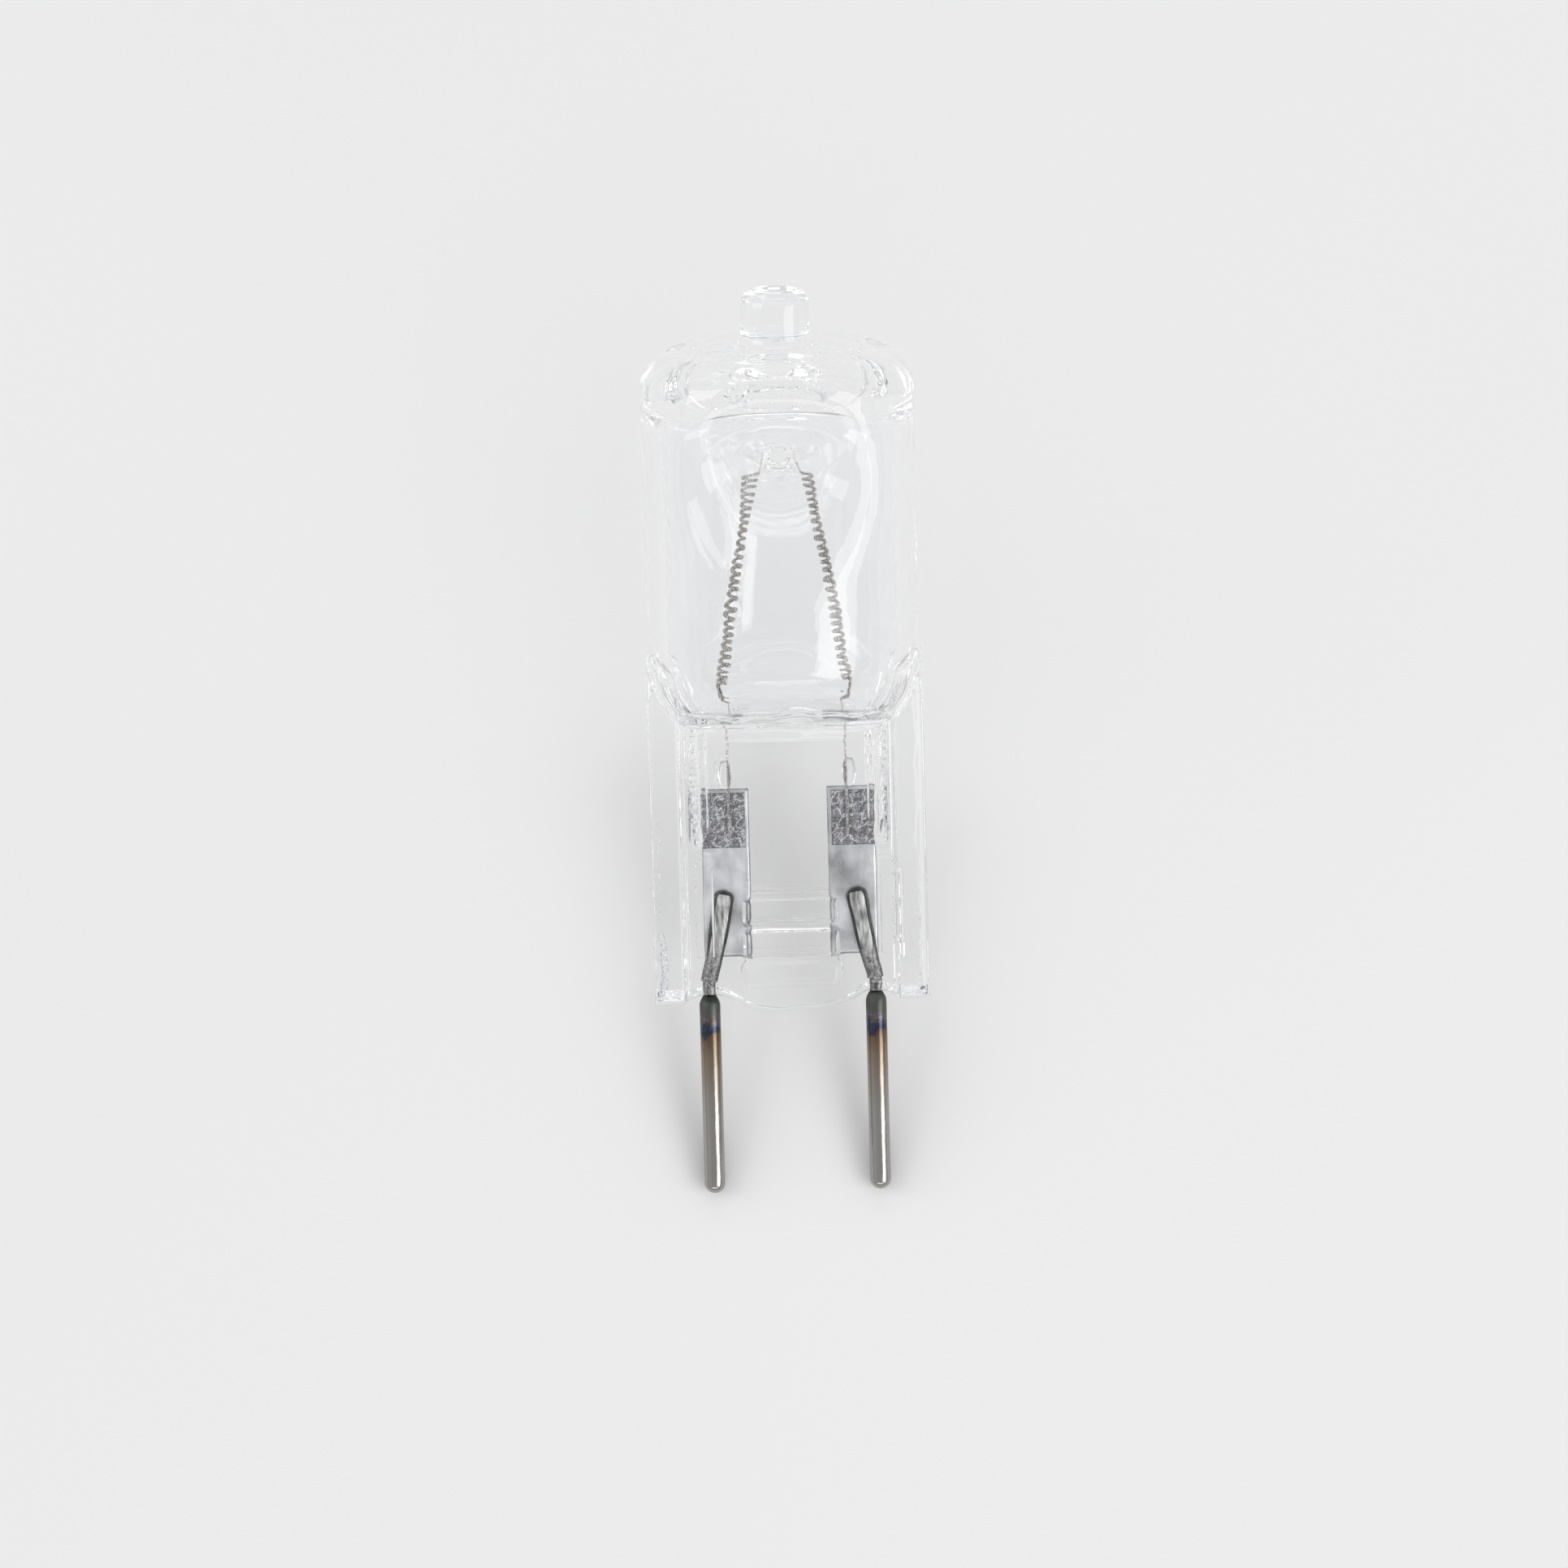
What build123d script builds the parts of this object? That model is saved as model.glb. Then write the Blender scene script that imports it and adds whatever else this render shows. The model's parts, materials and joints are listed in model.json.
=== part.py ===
from build123d import *
import os
from math import acos, atan2, copysign, cos, degrees, hypot, pi, radians, sin

# Clear quartz capsule lamp with two contact pins, lying as it comes to rest on a table.
# Every piece is modelled in the lamp's own frame, in millimetres, and placed at the end:
# Z runs along the lamp with zero at the top of the pins and the exhaust tip at the far end,
# X runs across the two pins, and the front of the lamp faces -Y.

# Glass tube
bulb_diameter = 13.0
bulb_wall = 1.0
tube_height = 12.5
end_corner = 2.0
end_rise = 0.15
end_wall = 1.7
hollow_corner = 2.2
hollow_rise = 0.15

# Sealed exhaust tip on the closed end
tip_diameter = 3.26
tip_height = 2.85
tip_round = 0.7
tip_root_round = 0.5
seal_diameter = 4.7
seal_depth = 0.4
seal_peak_diameter = 0.8

# Dimples that meet in a post
post_below_corner = 3.15
post_thickness = 0.8
post_ring = 0.3
dimple_floor_width = 1.0
dimple_floor_height = 0.9
dimple_mouth_width = 11.4
dimple_mouth_height = 7.6
dimple_mouth_drop = 0.5
dimple_wall = 1.2
dimple_flare = 2.0
dimple_overshoot = 1.1
dimple_sections = 5
floor_corner_share = 0.6
mouth_corner_share = 0.97
mouth_round = 0.8

# Squeezed neck between the tube and the pinch
neck_height = 3.6
neck_floor = 0.75
neck_sections = 9
foot_width = 9.6
foot_depth = 6.4
foot_round = 0.4
foot_squareness = 7.0
outline_points = 32
hollow_foot_round = 0.8

# Flat pinch
pinch_height = 13.4
pinch_width = 13.2
flange_width = 1.5
flange_depth = 4.4
web_depth = 2.6
pinch_edge_round = 0.35
edge_round_limit = 0.4
flange_drop = 0.45
flange_lean = 0.05
base_bulge = 0.9
lead_notch = 0.9
lead_exit = 0.1

# Pressed pattern on the front of the pinch
bar_count = 3
bar_width = 4.6
bar_height = 1.32
bar_pitch = 1.56
bar_first = 1.25
bar_rise = 0.3
rib_width = 0.5
rib_rise = 0.3
rib_inset = 0.35
rib_height = 5.5
rib_gap = 0.2
pad_width = 0.8
pad_rise = 0.15
pad_height = 4.6
pad_gap = 0.6
boss_corner_share = 0.3
boss_edge_share = 0.8

# Contact pins and lead wires
pin_pitch = 8.0
pin_diameter = 1.0
pin_length = 9.85
pin_taper = 0.5
lead_diameter = 0.6
lead_straight = 0.8
lead_taper = 0.9
lead_flat_width = 1.0
lead_flat_thickness = 0.3
lead_top = 4.75
lead_top_offset = 3.12
taper_fit = 0.45
flat_edge_share = 0.3

# Sealing foils and weld tabs
foil_offset = 3.02
foil_width = 2.3
foil_length = 8.27
foil_bottom = 1.95
foil_thickness = 0.04
tab_width = 2.1
tab_length = 2.7
tab_border = 0.2
tab_thickness = 0.05

# Filament
strand_diameter = 0.2
wire_diameter = 0.1
coil_diameter = 0.6
coil_pitch = 0.38
coil_steps = 8
strand_sides = 5
coil_bottom_offset = 3.03
coil_top_offset = 1.62
coil_clearance = 0.95
coil_below_post = 0.9
tail_on_tab = 2.0
tail_above_foil = 1.2
tail_channel = 0.45
tail_channel_height = 1.2
post_clearance = 0.02

# Search for the angle at which the lamp comes to rest
rest_stations = 2000
rest_halvings = 60
rest_limit = 45

# Sizes that follow from the ones above
bulb_radius = bulb_diameter / 2
cavity_radius = bulb_radius - bulb_wall
neck_top = pinch_height + neck_height
tube_top = neck_top + tube_height
end_face = tube_top + end_corner
cavity_floor = pinch_height + neck_floor
cavity_top = end_face - end_wall
post_height = tube_top - post_below_corner
web_half = web_depth / 2
flange_inner = pinch_width / 2 - flange_width
foil_front = strand_diameter / 2 + tab_thickness
foil_top = foil_bottom + foil_length
tab_top = foil_top - tab_border
coil_bottom = cavity_floor + coil_clearance
coil_top = post_height - coil_below_post
coil_radius = (coil_diameter - strand_diameter) / 2


def squeeze(share):
    """How round the glass is, from flat at 0 to round at 1, with no kink at either end."""
    return sin(pi / 2 * min(max(share, 0), 1)) ** 2


def blend(start, end, share):
    return start + (end - start) * share


def neck_half_depth(height):
    """Half the depth of the outside of the glass at a height on the neck or the tube."""
    return blend(foot_depth / 2, bulb_radius, squeeze((height - pinch_height) / neck_height))


def neck_section(height, inset):
    """The neck cut across: a rounded oblong at its foot that turns into a circle at its top."""
    narrowing = 1 - (height - pinch_height) / neck_height
    half_width = blend(bulb_radius, foot_width / 2, narrowing ** 1.5) - inset
    half_depth = neck_half_depth(height) - inset
    squareness = blend(2, foot_squareness, narrowing ** 2)
    points = []
    for step in range(outline_points):
        angle = 2 * pi * step / outline_points
        across = copysign(abs(cos(angle)) ** (2 / squareness), cos(angle))
        deep = copysign(abs(sin(angle)) ** (2 / squareness), sin(angle))
        points.append((half_width * across, half_depth * deep))
    return Pos(0, 0, height) * make_face(Spline(*points, periodic=True))


def neck(bottom, inset, foot_edge_round):
    """The solid of the neck from a height up to the round tube, with a rounded lower edge."""
    heights = [blend(bottom, neck_top, step / neck_sections) for step in range(neck_sections)]
    sections = [neck_section(height, inset) for height in heights]
    sections.append(Pos(0, 0, neck_top) * Circle(bulb_radius - inset))
    body = loft(sections)
    return fillet(body.edges().group_by(Axis.Z)[0], foot_edge_round)


def round_end(radius, corner, bottom, top, rise):
    """A cylinder with a rounded top corner and a slightly domed end face."""
    with BuildSketch(Plane.XZ) as profile:
        with BuildLine():
            face_edge = (radius - corner, top)
            Polyline((0, top), (0, bottom), (radius, bottom), (radius, top - corner))
            RadiusArc((radius, top - corner), face_edge, -corner)
            ThreePointArc(face_edge, (0, top + rise), (corner - radius, top))
            Line((corner - radius, top), (0, top))
        make_face()
    return revolve(split(profile.sketch, Plane.YZ, keep=Keep.TOP), Axis.Z)


def exhaust_tip():
    """The sealed tip that stands on the closed end, with a rounded top edge."""
    tip_top = end_face + tip_height
    tip = Pos(0, 0, (tube_top + tip_top) / 2) * Cylinder(tip_diameter / 2, tip_top - tube_top)
    return fillet(tip.edges().group_by(Axis.Z)[-1], tip_round)


def glass_tube():
    """The outside of the bulb: squeezed neck, straight tube, closed end and exhaust tip."""
    tube = round_end(bulb_radius, end_corner, neck_top, end_face, end_rise)
    closed = tube + exhaust_tip()
    circles = closed.edges().filter_by(GeomType.CIRCLE)
    on_end_face = circles.filter_by_position(Axis.Z, tube_top, end_face + end_rise)
    root = on_end_face.sort_by(SortBy.RADIUS)[0]
    return neck(pinch_height, 0, foot_round) + fillet(root, tip_root_round)


def dimple(side, deep, floor_half_width, floor_half_height, extra):
    """One dimple as a bell-shaped solid, from its floor at depth `deep` out past the tube."""
    sections = []
    for step in range(dimple_sections):
        share = dimple_overshoot * step / (dimple_sections - 1)
        flare = share ** dimple_flare
        half_width = blend(floor_half_width, dimple_mouth_width / 2 + extra, flare)
        half_height = blend(floor_half_height, dimple_mouth_height / 2 + extra, flare)
        corner_share = blend(floor_corner_share, mouth_corner_share, min(2 * share, 1))
        corner = corner_share * min(half_width, half_height)
        depth = side * blend(deep, bulb_radius, share)
        centre = (0, depth, post_height - dimple_mouth_drop * flare)
        shape = RectangleRounded(2 * half_width, 2 * half_height, corner)
        sections.append(Plane(origin=centre, x_dir=(1, 0, 0), z_dir=(0, -1, 0)) * shape)
    return loft(sections)


def outer_dimple(side):
    return dimple(side, post_thickness / 2, dimple_floor_width / 2, dimple_floor_height / 2, 0)


def inner_dimple(side):
    half_width = dimple_floor_width / 2 + post_ring
    half_height = dimple_floor_height / 2 + post_ring
    return dimple(side, 0, half_width, half_height, dimple_wall)


def dimpled_tube():
    """The outside of the bulb with both dimples, rounded where they open on the tube."""
    glass = glass_tube() - outer_dimple(1) - outer_dimple(-1)
    mouth = []
    for edge in glass.edges():
        off_middle = min(abs(corner.Y) for corner in edge.vertices())
        if edge.geom_type not in (GeomType.CIRCLE, GeomType.LINE) and off_middle > bulb_radius / 2:
            mouth.append(edge)
    return fillet(mouth, mouth_round)


def cavity():
    """The hollow inside the bulb, with the post left standing in it."""
    tube = round_end(cavity_radius, hollow_corner, neck_top, cavity_top, hollow_rise)
    seal_base = Pos(0, 0, cavity_top - seal_depth) * Circle(seal_diameter / 2)
    seal_peak = Pos(0, 0, cavity_top + seal_depth) * Circle(seal_peak_diameter / 2)
    seal = loft([seal_base, seal_peak])
    hollow = neck(cavity_floor, bulb_wall, hollow_foot_round) + tube + seal
    return hollow - inner_dimple(1) - inner_dimple(-1)


def pinch_outline():
    """The pinch seen from the front: leaning ears at the top, notches and a bulge below."""
    half = pinch_width / 2
    notch_outer = pin_pitch / 2 + lead_notch / 2
    notch_inner = pin_pitch / 2 - lead_notch / 2
    with BuildSketch(Plane.XZ) as outline:
        with BuildLine():
            for side in (-1, 1):
                Polyline(
                    (0, neck_top),
                    (side * (half - flange_lean), neck_top),
                    (side * half, pinch_height),
                    (side * half, -flange_drop),
                    (side * flange_inner, -flange_drop),
                    (side * notch_outer, lead_exit),
                    (side * notch_inner, lead_exit),
                )
            ThreePointArc((-notch_inner, lead_exit), (0, -base_bulge), (notch_inner, lead_exit))
        make_face()
    return outline.sketch


def pinch_section():
    """The pinch cut across: a flat web between two deeper flanges."""
    recess = flange_depth / 2 - web_half
    section = Rectangle(pinch_width, flange_depth)
    for side in (-1, 1):
        section -= Pos(0, side * (web_half + recess / 2)) * Rectangle(2 * flange_inner, recess)
    return fillet(section.vertices(), min(pinch_edge_round, edge_round_limit * min(recess, flange_width)))


def front_boss(width, height, rise, centre_x, centre_z):
    """A raised pillow on the front of the web, with rounded corners and edges."""
    flat = RectangleRounded(width, height, boss_corner_share * min(width, height))
    web_face = Plane(origin=(centre_x, -web_half, centre_z), x_dir=(1, 0, 0), z_dir=(0, -1, 0))
    boss = web_face * extrude(flat, rise, both=True)
    return fillet(boss.edges().group_by(Axis.Y)[0], boss_edge_share * rise)


def pinch():
    """The flat pinch with its ears, bars, ribs and pads."""
    low = -max(base_bulge, flange_drop)
    web = extrude(Pos(0, 0, low) * pinch_section(), neck_top - low)
    body = web & extrude(pinch_outline(), flange_depth, both=True)
    for index in range(bar_count):
        body += front_boss(bar_width, bar_height, bar_rise, 0, bar_first + index * bar_pitch)
    rib_bottom = pinch_height - rib_gap - rib_height
    pad_top = rib_bottom - pad_gap
    for side in (-1, 1):
        rib_x = side * (flange_inner - rib_inset - rib_width / 2)
        pad_x = side * (flange_inner - rib_inset - pad_width / 2)
        body += front_boss(rib_width, rib_height, rib_rise, rib_x, rib_bottom + rib_height / 2)
        body += front_boss(pad_width, pad_height, pad_rise, pad_x, pad_top - pad_height / 2)
    return body


def contact_pin(side):
    """A straight pin with a round tip, tapered at the top to the lead wire."""
    radius = pin_diameter / 2
    with BuildSketch(Plane.XZ) as profile:
        with BuildLine():
            Polyline((0, -pin_length), (0, 0), (lead_diameter / 2, 0), (radius, -pin_taper),
                     (radius, radius - pin_length))
            RadiusArc((radius, radius - pin_length), (0, -pin_length), radius)
        make_face()
    return Pos(side * pin_pitch / 2, 0, 0) * revolve(profile.sketch, Axis.Z)


def lead_wire(side):
    """A round wire that leans inward and is flattened where it lies on the foil."""
    foot = Vector(side * pin_pitch / 2, 0, 0)
    bend = foot + Vector(0, 0, lead_straight)
    lean = Vector(side * (lead_top_offset - pin_pitch / 2), 0, lead_top - lead_straight).normalized()
    flat_shift = Vector(0, foil_front - lead_flat_thickness / 2, 0)
    taper_end = bend + lean * lead_taper + flat_shift
    flat_end = Vector(side * lead_top_offset, 0, lead_top) + flat_shift
    radius = lead_diameter / 2
    straight = Plane(origin=foot) * extrude(Circle(radius), lead_straight)
    taper = loft([
        Plane(origin=bend, x_dir=(0, 1, 0), z_dir=(0, 0, 1)) * Ellipse(radius, radius),
        Plane(origin=taper_end, x_dir=(0, 1, 0), z_dir=lean)
        * Ellipse(taper_fit * lead_flat_thickness, radius),
    ])
    flat_length = (flat_end - taper_end).length + lead_flat_width / 2
    flat_middle = flat_end - lean * (flat_length / 2)
    flat_plane = Plane(origin=flat_middle, x_dir=lean, z_dir=(0, 1, 0))
    slot = SlotOverall(flat_length, lead_flat_width)
    flat = flat_plane * extrude(slot, lead_flat_thickness / 2, both=True)
    rims = flat.edges().group_by(Axis.Y)
    return straight + taper + chamfer(rims[0] + rims[-1], flat_edge_share * lead_flat_thickness)


def foil(side):
    centre = (side * foil_offset, foil_front + foil_thickness / 2, foil_bottom + foil_length / 2)
    return Pos(*centre) * Box(foil_width, foil_thickness, foil_length)


def weld_tab(side):
    outer_edge = foil_offset + foil_width / 2
    across = side * (outer_edge - tab_width / 2)
    centre = (across, foil_front - tab_thickness / 2, tab_top - tab_length / 2)
    return Pos(*centre) * Box(tab_width, tab_thickness, tab_length)


def limb_plane(side):
    """The frame of one coiled limb: Z up the limb, X toward the lamp's axis."""
    bottom = Vector(side * coil_bottom_offset, 0, coil_bottom)
    top = Vector(side * coil_top_offset, 0, coil_top)
    up = top - bottom
    return Plane(origin=bottom, x_dir=(-side * up.Z, 0, side * up.X), z_dir=up)


def limb_length():
    return hypot(coil_bottom_offset - coil_top_offset, coil_top - coil_bottom)


def limb_end(side, along):
    """A point on the wire at the start or the end of the coil."""
    plane = limb_plane(side)
    return plane.origin + plane.x_dir * coil_radius + plane.z_dir * along


def coil_limb(side):
    """One limb of the filament: the coiled strand wound once more into a wider coil.

    The strand is drawn plain, with few sides and few straight steps a turn, because it repeats so often.
    """
    turns = round(limb_length() / coil_pitch)
    steps = turns * coil_steps
    corners = []
    for step in range(steps + 1):
        angle = 2 * pi * step / coil_steps
        corners.append((coil_radius * cos(angle), coil_radius * sin(angle), limb_length() * step / steps))
    path = Polyline(*corners)
    start = Plane(origin=path @ 0, x_dir=(1, 0, 0), z_dir=path % 0)
    strand = start * RegularPolygon(strand_diameter / 2, strand_sides)
    return limb_plane(side) * sweep(strand, path, transition=Transition.RIGHT)


def tail(side):
    """The end of the filament: plain wire, then the coiled strand that lies on the weld tab."""
    start = limb_end(side, 0)
    strand_top = foil_top + tail_above_foil
    strand_bottom = tab_top - tail_on_tab
    strand_length = strand_top - strand_bottom
    strand = Pos(start.X, 0, strand_bottom) * extrude(Circle(strand_diameter / 2), strand_length)
    wire = Pos(start.X, 0, strand_top) * extrude(Circle(wire_diameter / 2), start.Z - strand_top)
    return strand + wire


def tail_hole(side):
    """The narrow channel that the pinch leaves around a tail, just above the foil."""
    start = limb_end(side, 0)
    return Pos(start.X, 0, foil_top) * extrude(Circle(tail_channel / 2), tail_channel_height)


def bridge():
    """The plain wire that goes from limb to limb over the post."""
    end = limb_end(-1, limb_length())
    half_width = dimple_floor_width / 2 + post_ring
    half_height = dimple_floor_height / 2 + post_ring
    corner = floor_corner_share * min(half_width, half_height)
    post_reach = hypot(half_width - corner, half_height - corner) + corner
    radius = post_reach + wire_diameter / 2 + post_clearance
    away = hypot(end.X, end.Z - post_height)
    start_angle = degrees(atan2(end.Z - post_height, end.X) % (2 * pi) - acos(radius / away))
    with BuildLine(Plane.XZ) as path:
        over = CenterArc((0, post_height), radius, start_angle, 180 - 2 * start_angle)
        Line((end.X, end.Z), over @ 0)
        Line(over @ 1, (-end.X, end.Z))
    first = path.wire()
    section = Plane(origin=first @ 0, z_dir=first % 0) * Circle(wire_diameter / 2)
    return sweep(section, first)


def filament(tails):
    return coil_limb(-1) + coil_limb(1) + bridge() + tails[0] + tails[1]


def rest_tilt():
    """The angle in radians at which the lamp lies on the bulb's lower edge and the pin tips."""
    tip_radius = pin_diameter / 2
    tip_centre = tip_radius - pin_length
    heights = [blend(pinch_height, tube_top, step / rest_stations) for step in range(rest_stations + 1)]
    low, high = 0.0, radians(rest_limit)
    for _ in range(rest_halvings):
        tilt = (low + high) / 2
        bulb_reach = max(neck_half_depth(z) * cos(tilt) - z * sin(tilt) for z in heights)
        if bulb_reach > tip_radius - tip_centre * sin(tilt):
            low = tilt
        else:
            high = tilt
    return (low + high) / 2


def lay_down(pieces):
    """Every piece turned to the rest pose, with the middle of the underside at the origin."""
    turned = {name: Rot(degrees(rest_tilt()) - 90, 0, 0) * piece for name, piece in pieces.items()}
    box = Compound(list(turned.values())).bounding_box()
    centre = box.center()
    return {name: Pos(-centre.X, -centre.Y, -box.min.Z) * piece for name, piece in turned.items()}


def build():
    tails = [tail(-1), tail(1)]
    inner = {"filament": filament(tails)}
    for name, side in (("left", -1), ("right", 1)):
        inner["foil_" + name] = foil(side)
        inner["weld_tab_" + name] = weld_tab(side)
        inner["lead_wire_" + name] = lead_wire(side)
    hollows = [cavity(), tail_hole(-1), tail_hole(1), *tails]
    hollows += [piece for name, piece in inner.items() if name != "filament"]
    pieces = {"glass_envelope": dimpled_tube() + pinch() - hollows}
    pieces.update(inner)
    pieces["contact_pin_left"] = contact_pin(-1)
    pieces["contact_pin_right"] = contact_pin(1)
    return pieces


os.makedirs("parts", exist_ok=True)
for node, shape in lay_down(build()).items():
    export_step(shape, "parts/" + node + ".step")
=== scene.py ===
import json
import math
from types import SimpleNamespace

import bpy
import numpy as np
from bpy.props import FloatProperty, FloatVectorProperty, IntProperty, PointerProperty
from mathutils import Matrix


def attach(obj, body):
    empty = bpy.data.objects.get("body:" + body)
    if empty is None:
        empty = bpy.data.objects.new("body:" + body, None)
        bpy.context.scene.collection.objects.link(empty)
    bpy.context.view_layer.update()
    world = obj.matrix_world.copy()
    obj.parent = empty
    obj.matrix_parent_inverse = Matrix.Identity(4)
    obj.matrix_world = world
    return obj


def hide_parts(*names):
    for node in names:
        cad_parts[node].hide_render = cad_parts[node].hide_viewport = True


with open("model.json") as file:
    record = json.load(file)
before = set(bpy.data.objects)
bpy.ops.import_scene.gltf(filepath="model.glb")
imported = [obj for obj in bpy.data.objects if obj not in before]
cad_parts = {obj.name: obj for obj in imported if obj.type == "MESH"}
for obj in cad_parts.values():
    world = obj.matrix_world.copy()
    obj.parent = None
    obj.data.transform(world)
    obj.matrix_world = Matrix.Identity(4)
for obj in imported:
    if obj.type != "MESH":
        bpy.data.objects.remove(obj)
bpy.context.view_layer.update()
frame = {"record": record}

bl_info = {
    "name": "Capsule lamp",
    "version": (1, 0, 0),
    "blender": (4, 5, 0),
    "location": "3D View > Sidebar > Lamp",
    "description": "Dresses the CAD frame of a clear capsule lamp with two contact pins",
    "category": "Add Mesh",
}

# The lamp's own frame, read from the two pin mounts: across the pins, out of the front, along to the tip.
MM = 0.001
PINS = [mount for mount in frame["record"]["mounts"] if mount["kind"] == "pin"]
ALONG = -np.array(PINS[0]["axis"], dtype=float)
ACROSS = np.array((1.0, 0.0, 0.0))
FRONT = np.cross(ACROSS, ALONG)
PIN_MIDDLE = np.mean([mount["pos_m"] for mount in PINS], axis=0)
SIDES = {"left": -1, "right": 1}
FRAME_PIXELS = 1932

# Shapes that the jaws pressed into the web: place across and along, width, height and softness, in mm.
# Ribs and pads come in pairs, and the pads sit a shift to the right. The line has a low pad in its middle.
WIDE_RIB = (4.5, 10.55, 0.42, 5.7, 0.08)
THIN_RIB = (3.95, 10.8, 0.2, 4.6, 0.08)
PAD = (4.45, 4.4, 0.85, 4.4, 0.03)
PAD_SHIFT = 0.3
LINE_PAD = (0.1, 12.6, 1.0, 0.34, 0.1)
LINE_HEIGHT = 12.65
# Where the web gets finer columns and rows, and the heights between which its rows follow the bars, in mm.
FINE_COLUMNS = (3.73, 4.32, 3.93, 4.29, 4.74)
FINE_ROWS = (LINE_HEIGHT, 5.55)
BARS_TOP, BASE_TOP = 5.3, 0.5
# Wavy ridges across the foot of the neck: their heights over the pinch, in mm.
JAW_LINES = (-0.45, -0.15, 0.2, 0.5, 0.8, 1.05)
# Rough lines in the glass: place across and in front, bottom, top, number of hollows and their size, in mm.
BUBBLE_LINES = (
    (-4.47, 1.3, 7.8, 13.2, 26, 0.11), (-4.1, 1.1, 8.6, 12.9, 16, 0.07), (4.6, 1.3, 7.8, 13.2, 28, 0.12),
    (-4.5, 1.25, 2.6, 6.9, 10, 0.06), (4.95, 1.3, 2.6, 7.1, 16, 0.1), (-6.15, 1.75, 0.6, 3.4, 14, 0.2),
    (-6.2, 1.8, 3.4, 9.0, 12, 0.09), (6.1, 1.7, 0.8, 6.0, 6, 0.05))
# Single hollows in the web and in the tip: place across, in front and along, then half sizes, in mm.
# Those in the tip are counted down from its top.
WEB_BUBBLES = np.array((
    (3.85, 0.7, 12.5, 0.14, 0.16, 0.4), (3.82, 0.7, 11.5, 0.12, 0.14, 0.44),
    (4.05, 0.75, 12.0, 0.05, 0.06, 0.3), (-3.83, 0.7, 10.95, 0.05, 0.06, 0.65),
    (-3.4, 0.7, 11.0, 0.06, 0.06, 0.75)))
TIP_BUBBLES = np.array(((-0.72, 0.35, -1.85, 0.09, 0.09, 0.14), (1.05, 0.3, -1.5, 0.07, 0.07, 0.1)))
# Rows and columns of one small hollow, then points in one turn of the fine coil and sides of its wire.
BUBBLE_ROWS, BUBBLE_COLUMNS = 6, 7
FINE_STEPS, WIRE_SIDES = 8, 4
# Soft boxes: name, place and size in metres, and the property that holds the brightness.
SOFT_BOXES = (
    ("box_left", (-0.50, 0.12, 0.30), (0.34, 0.40), "side_light"),
    ("box_right", (0.46, -0.20, 0.39), (0.54, 0.34), "box_light"),
    ("box_near", (0.0, -0.55, 0.30), (0.60, 0.12), "near_light"),
    ("box_far", (0.0, 0.55, 0.30), (0.60, 0.15), "far_light"))
LIGHT_TARGET = np.array((0, 0, 0.005))
FLOOR_REACH = 4.0


def length(millimetres, description):
    """A property for a length, given in millimetres and kept in metres."""
    return FloatProperty(description=description, default=millimetres * MM, unit="LENGTH", precision=5)


def colour(value, description):
    """A property for a linear colour."""
    return FloatVectorProperty(description=description, default=value, size=3, subtype="COLOR", min=0, max=1)


def amount(value, description):
    """A property for a plain number that isn't negative."""
    return FloatProperty(description=description, default=value, min=0)


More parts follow.
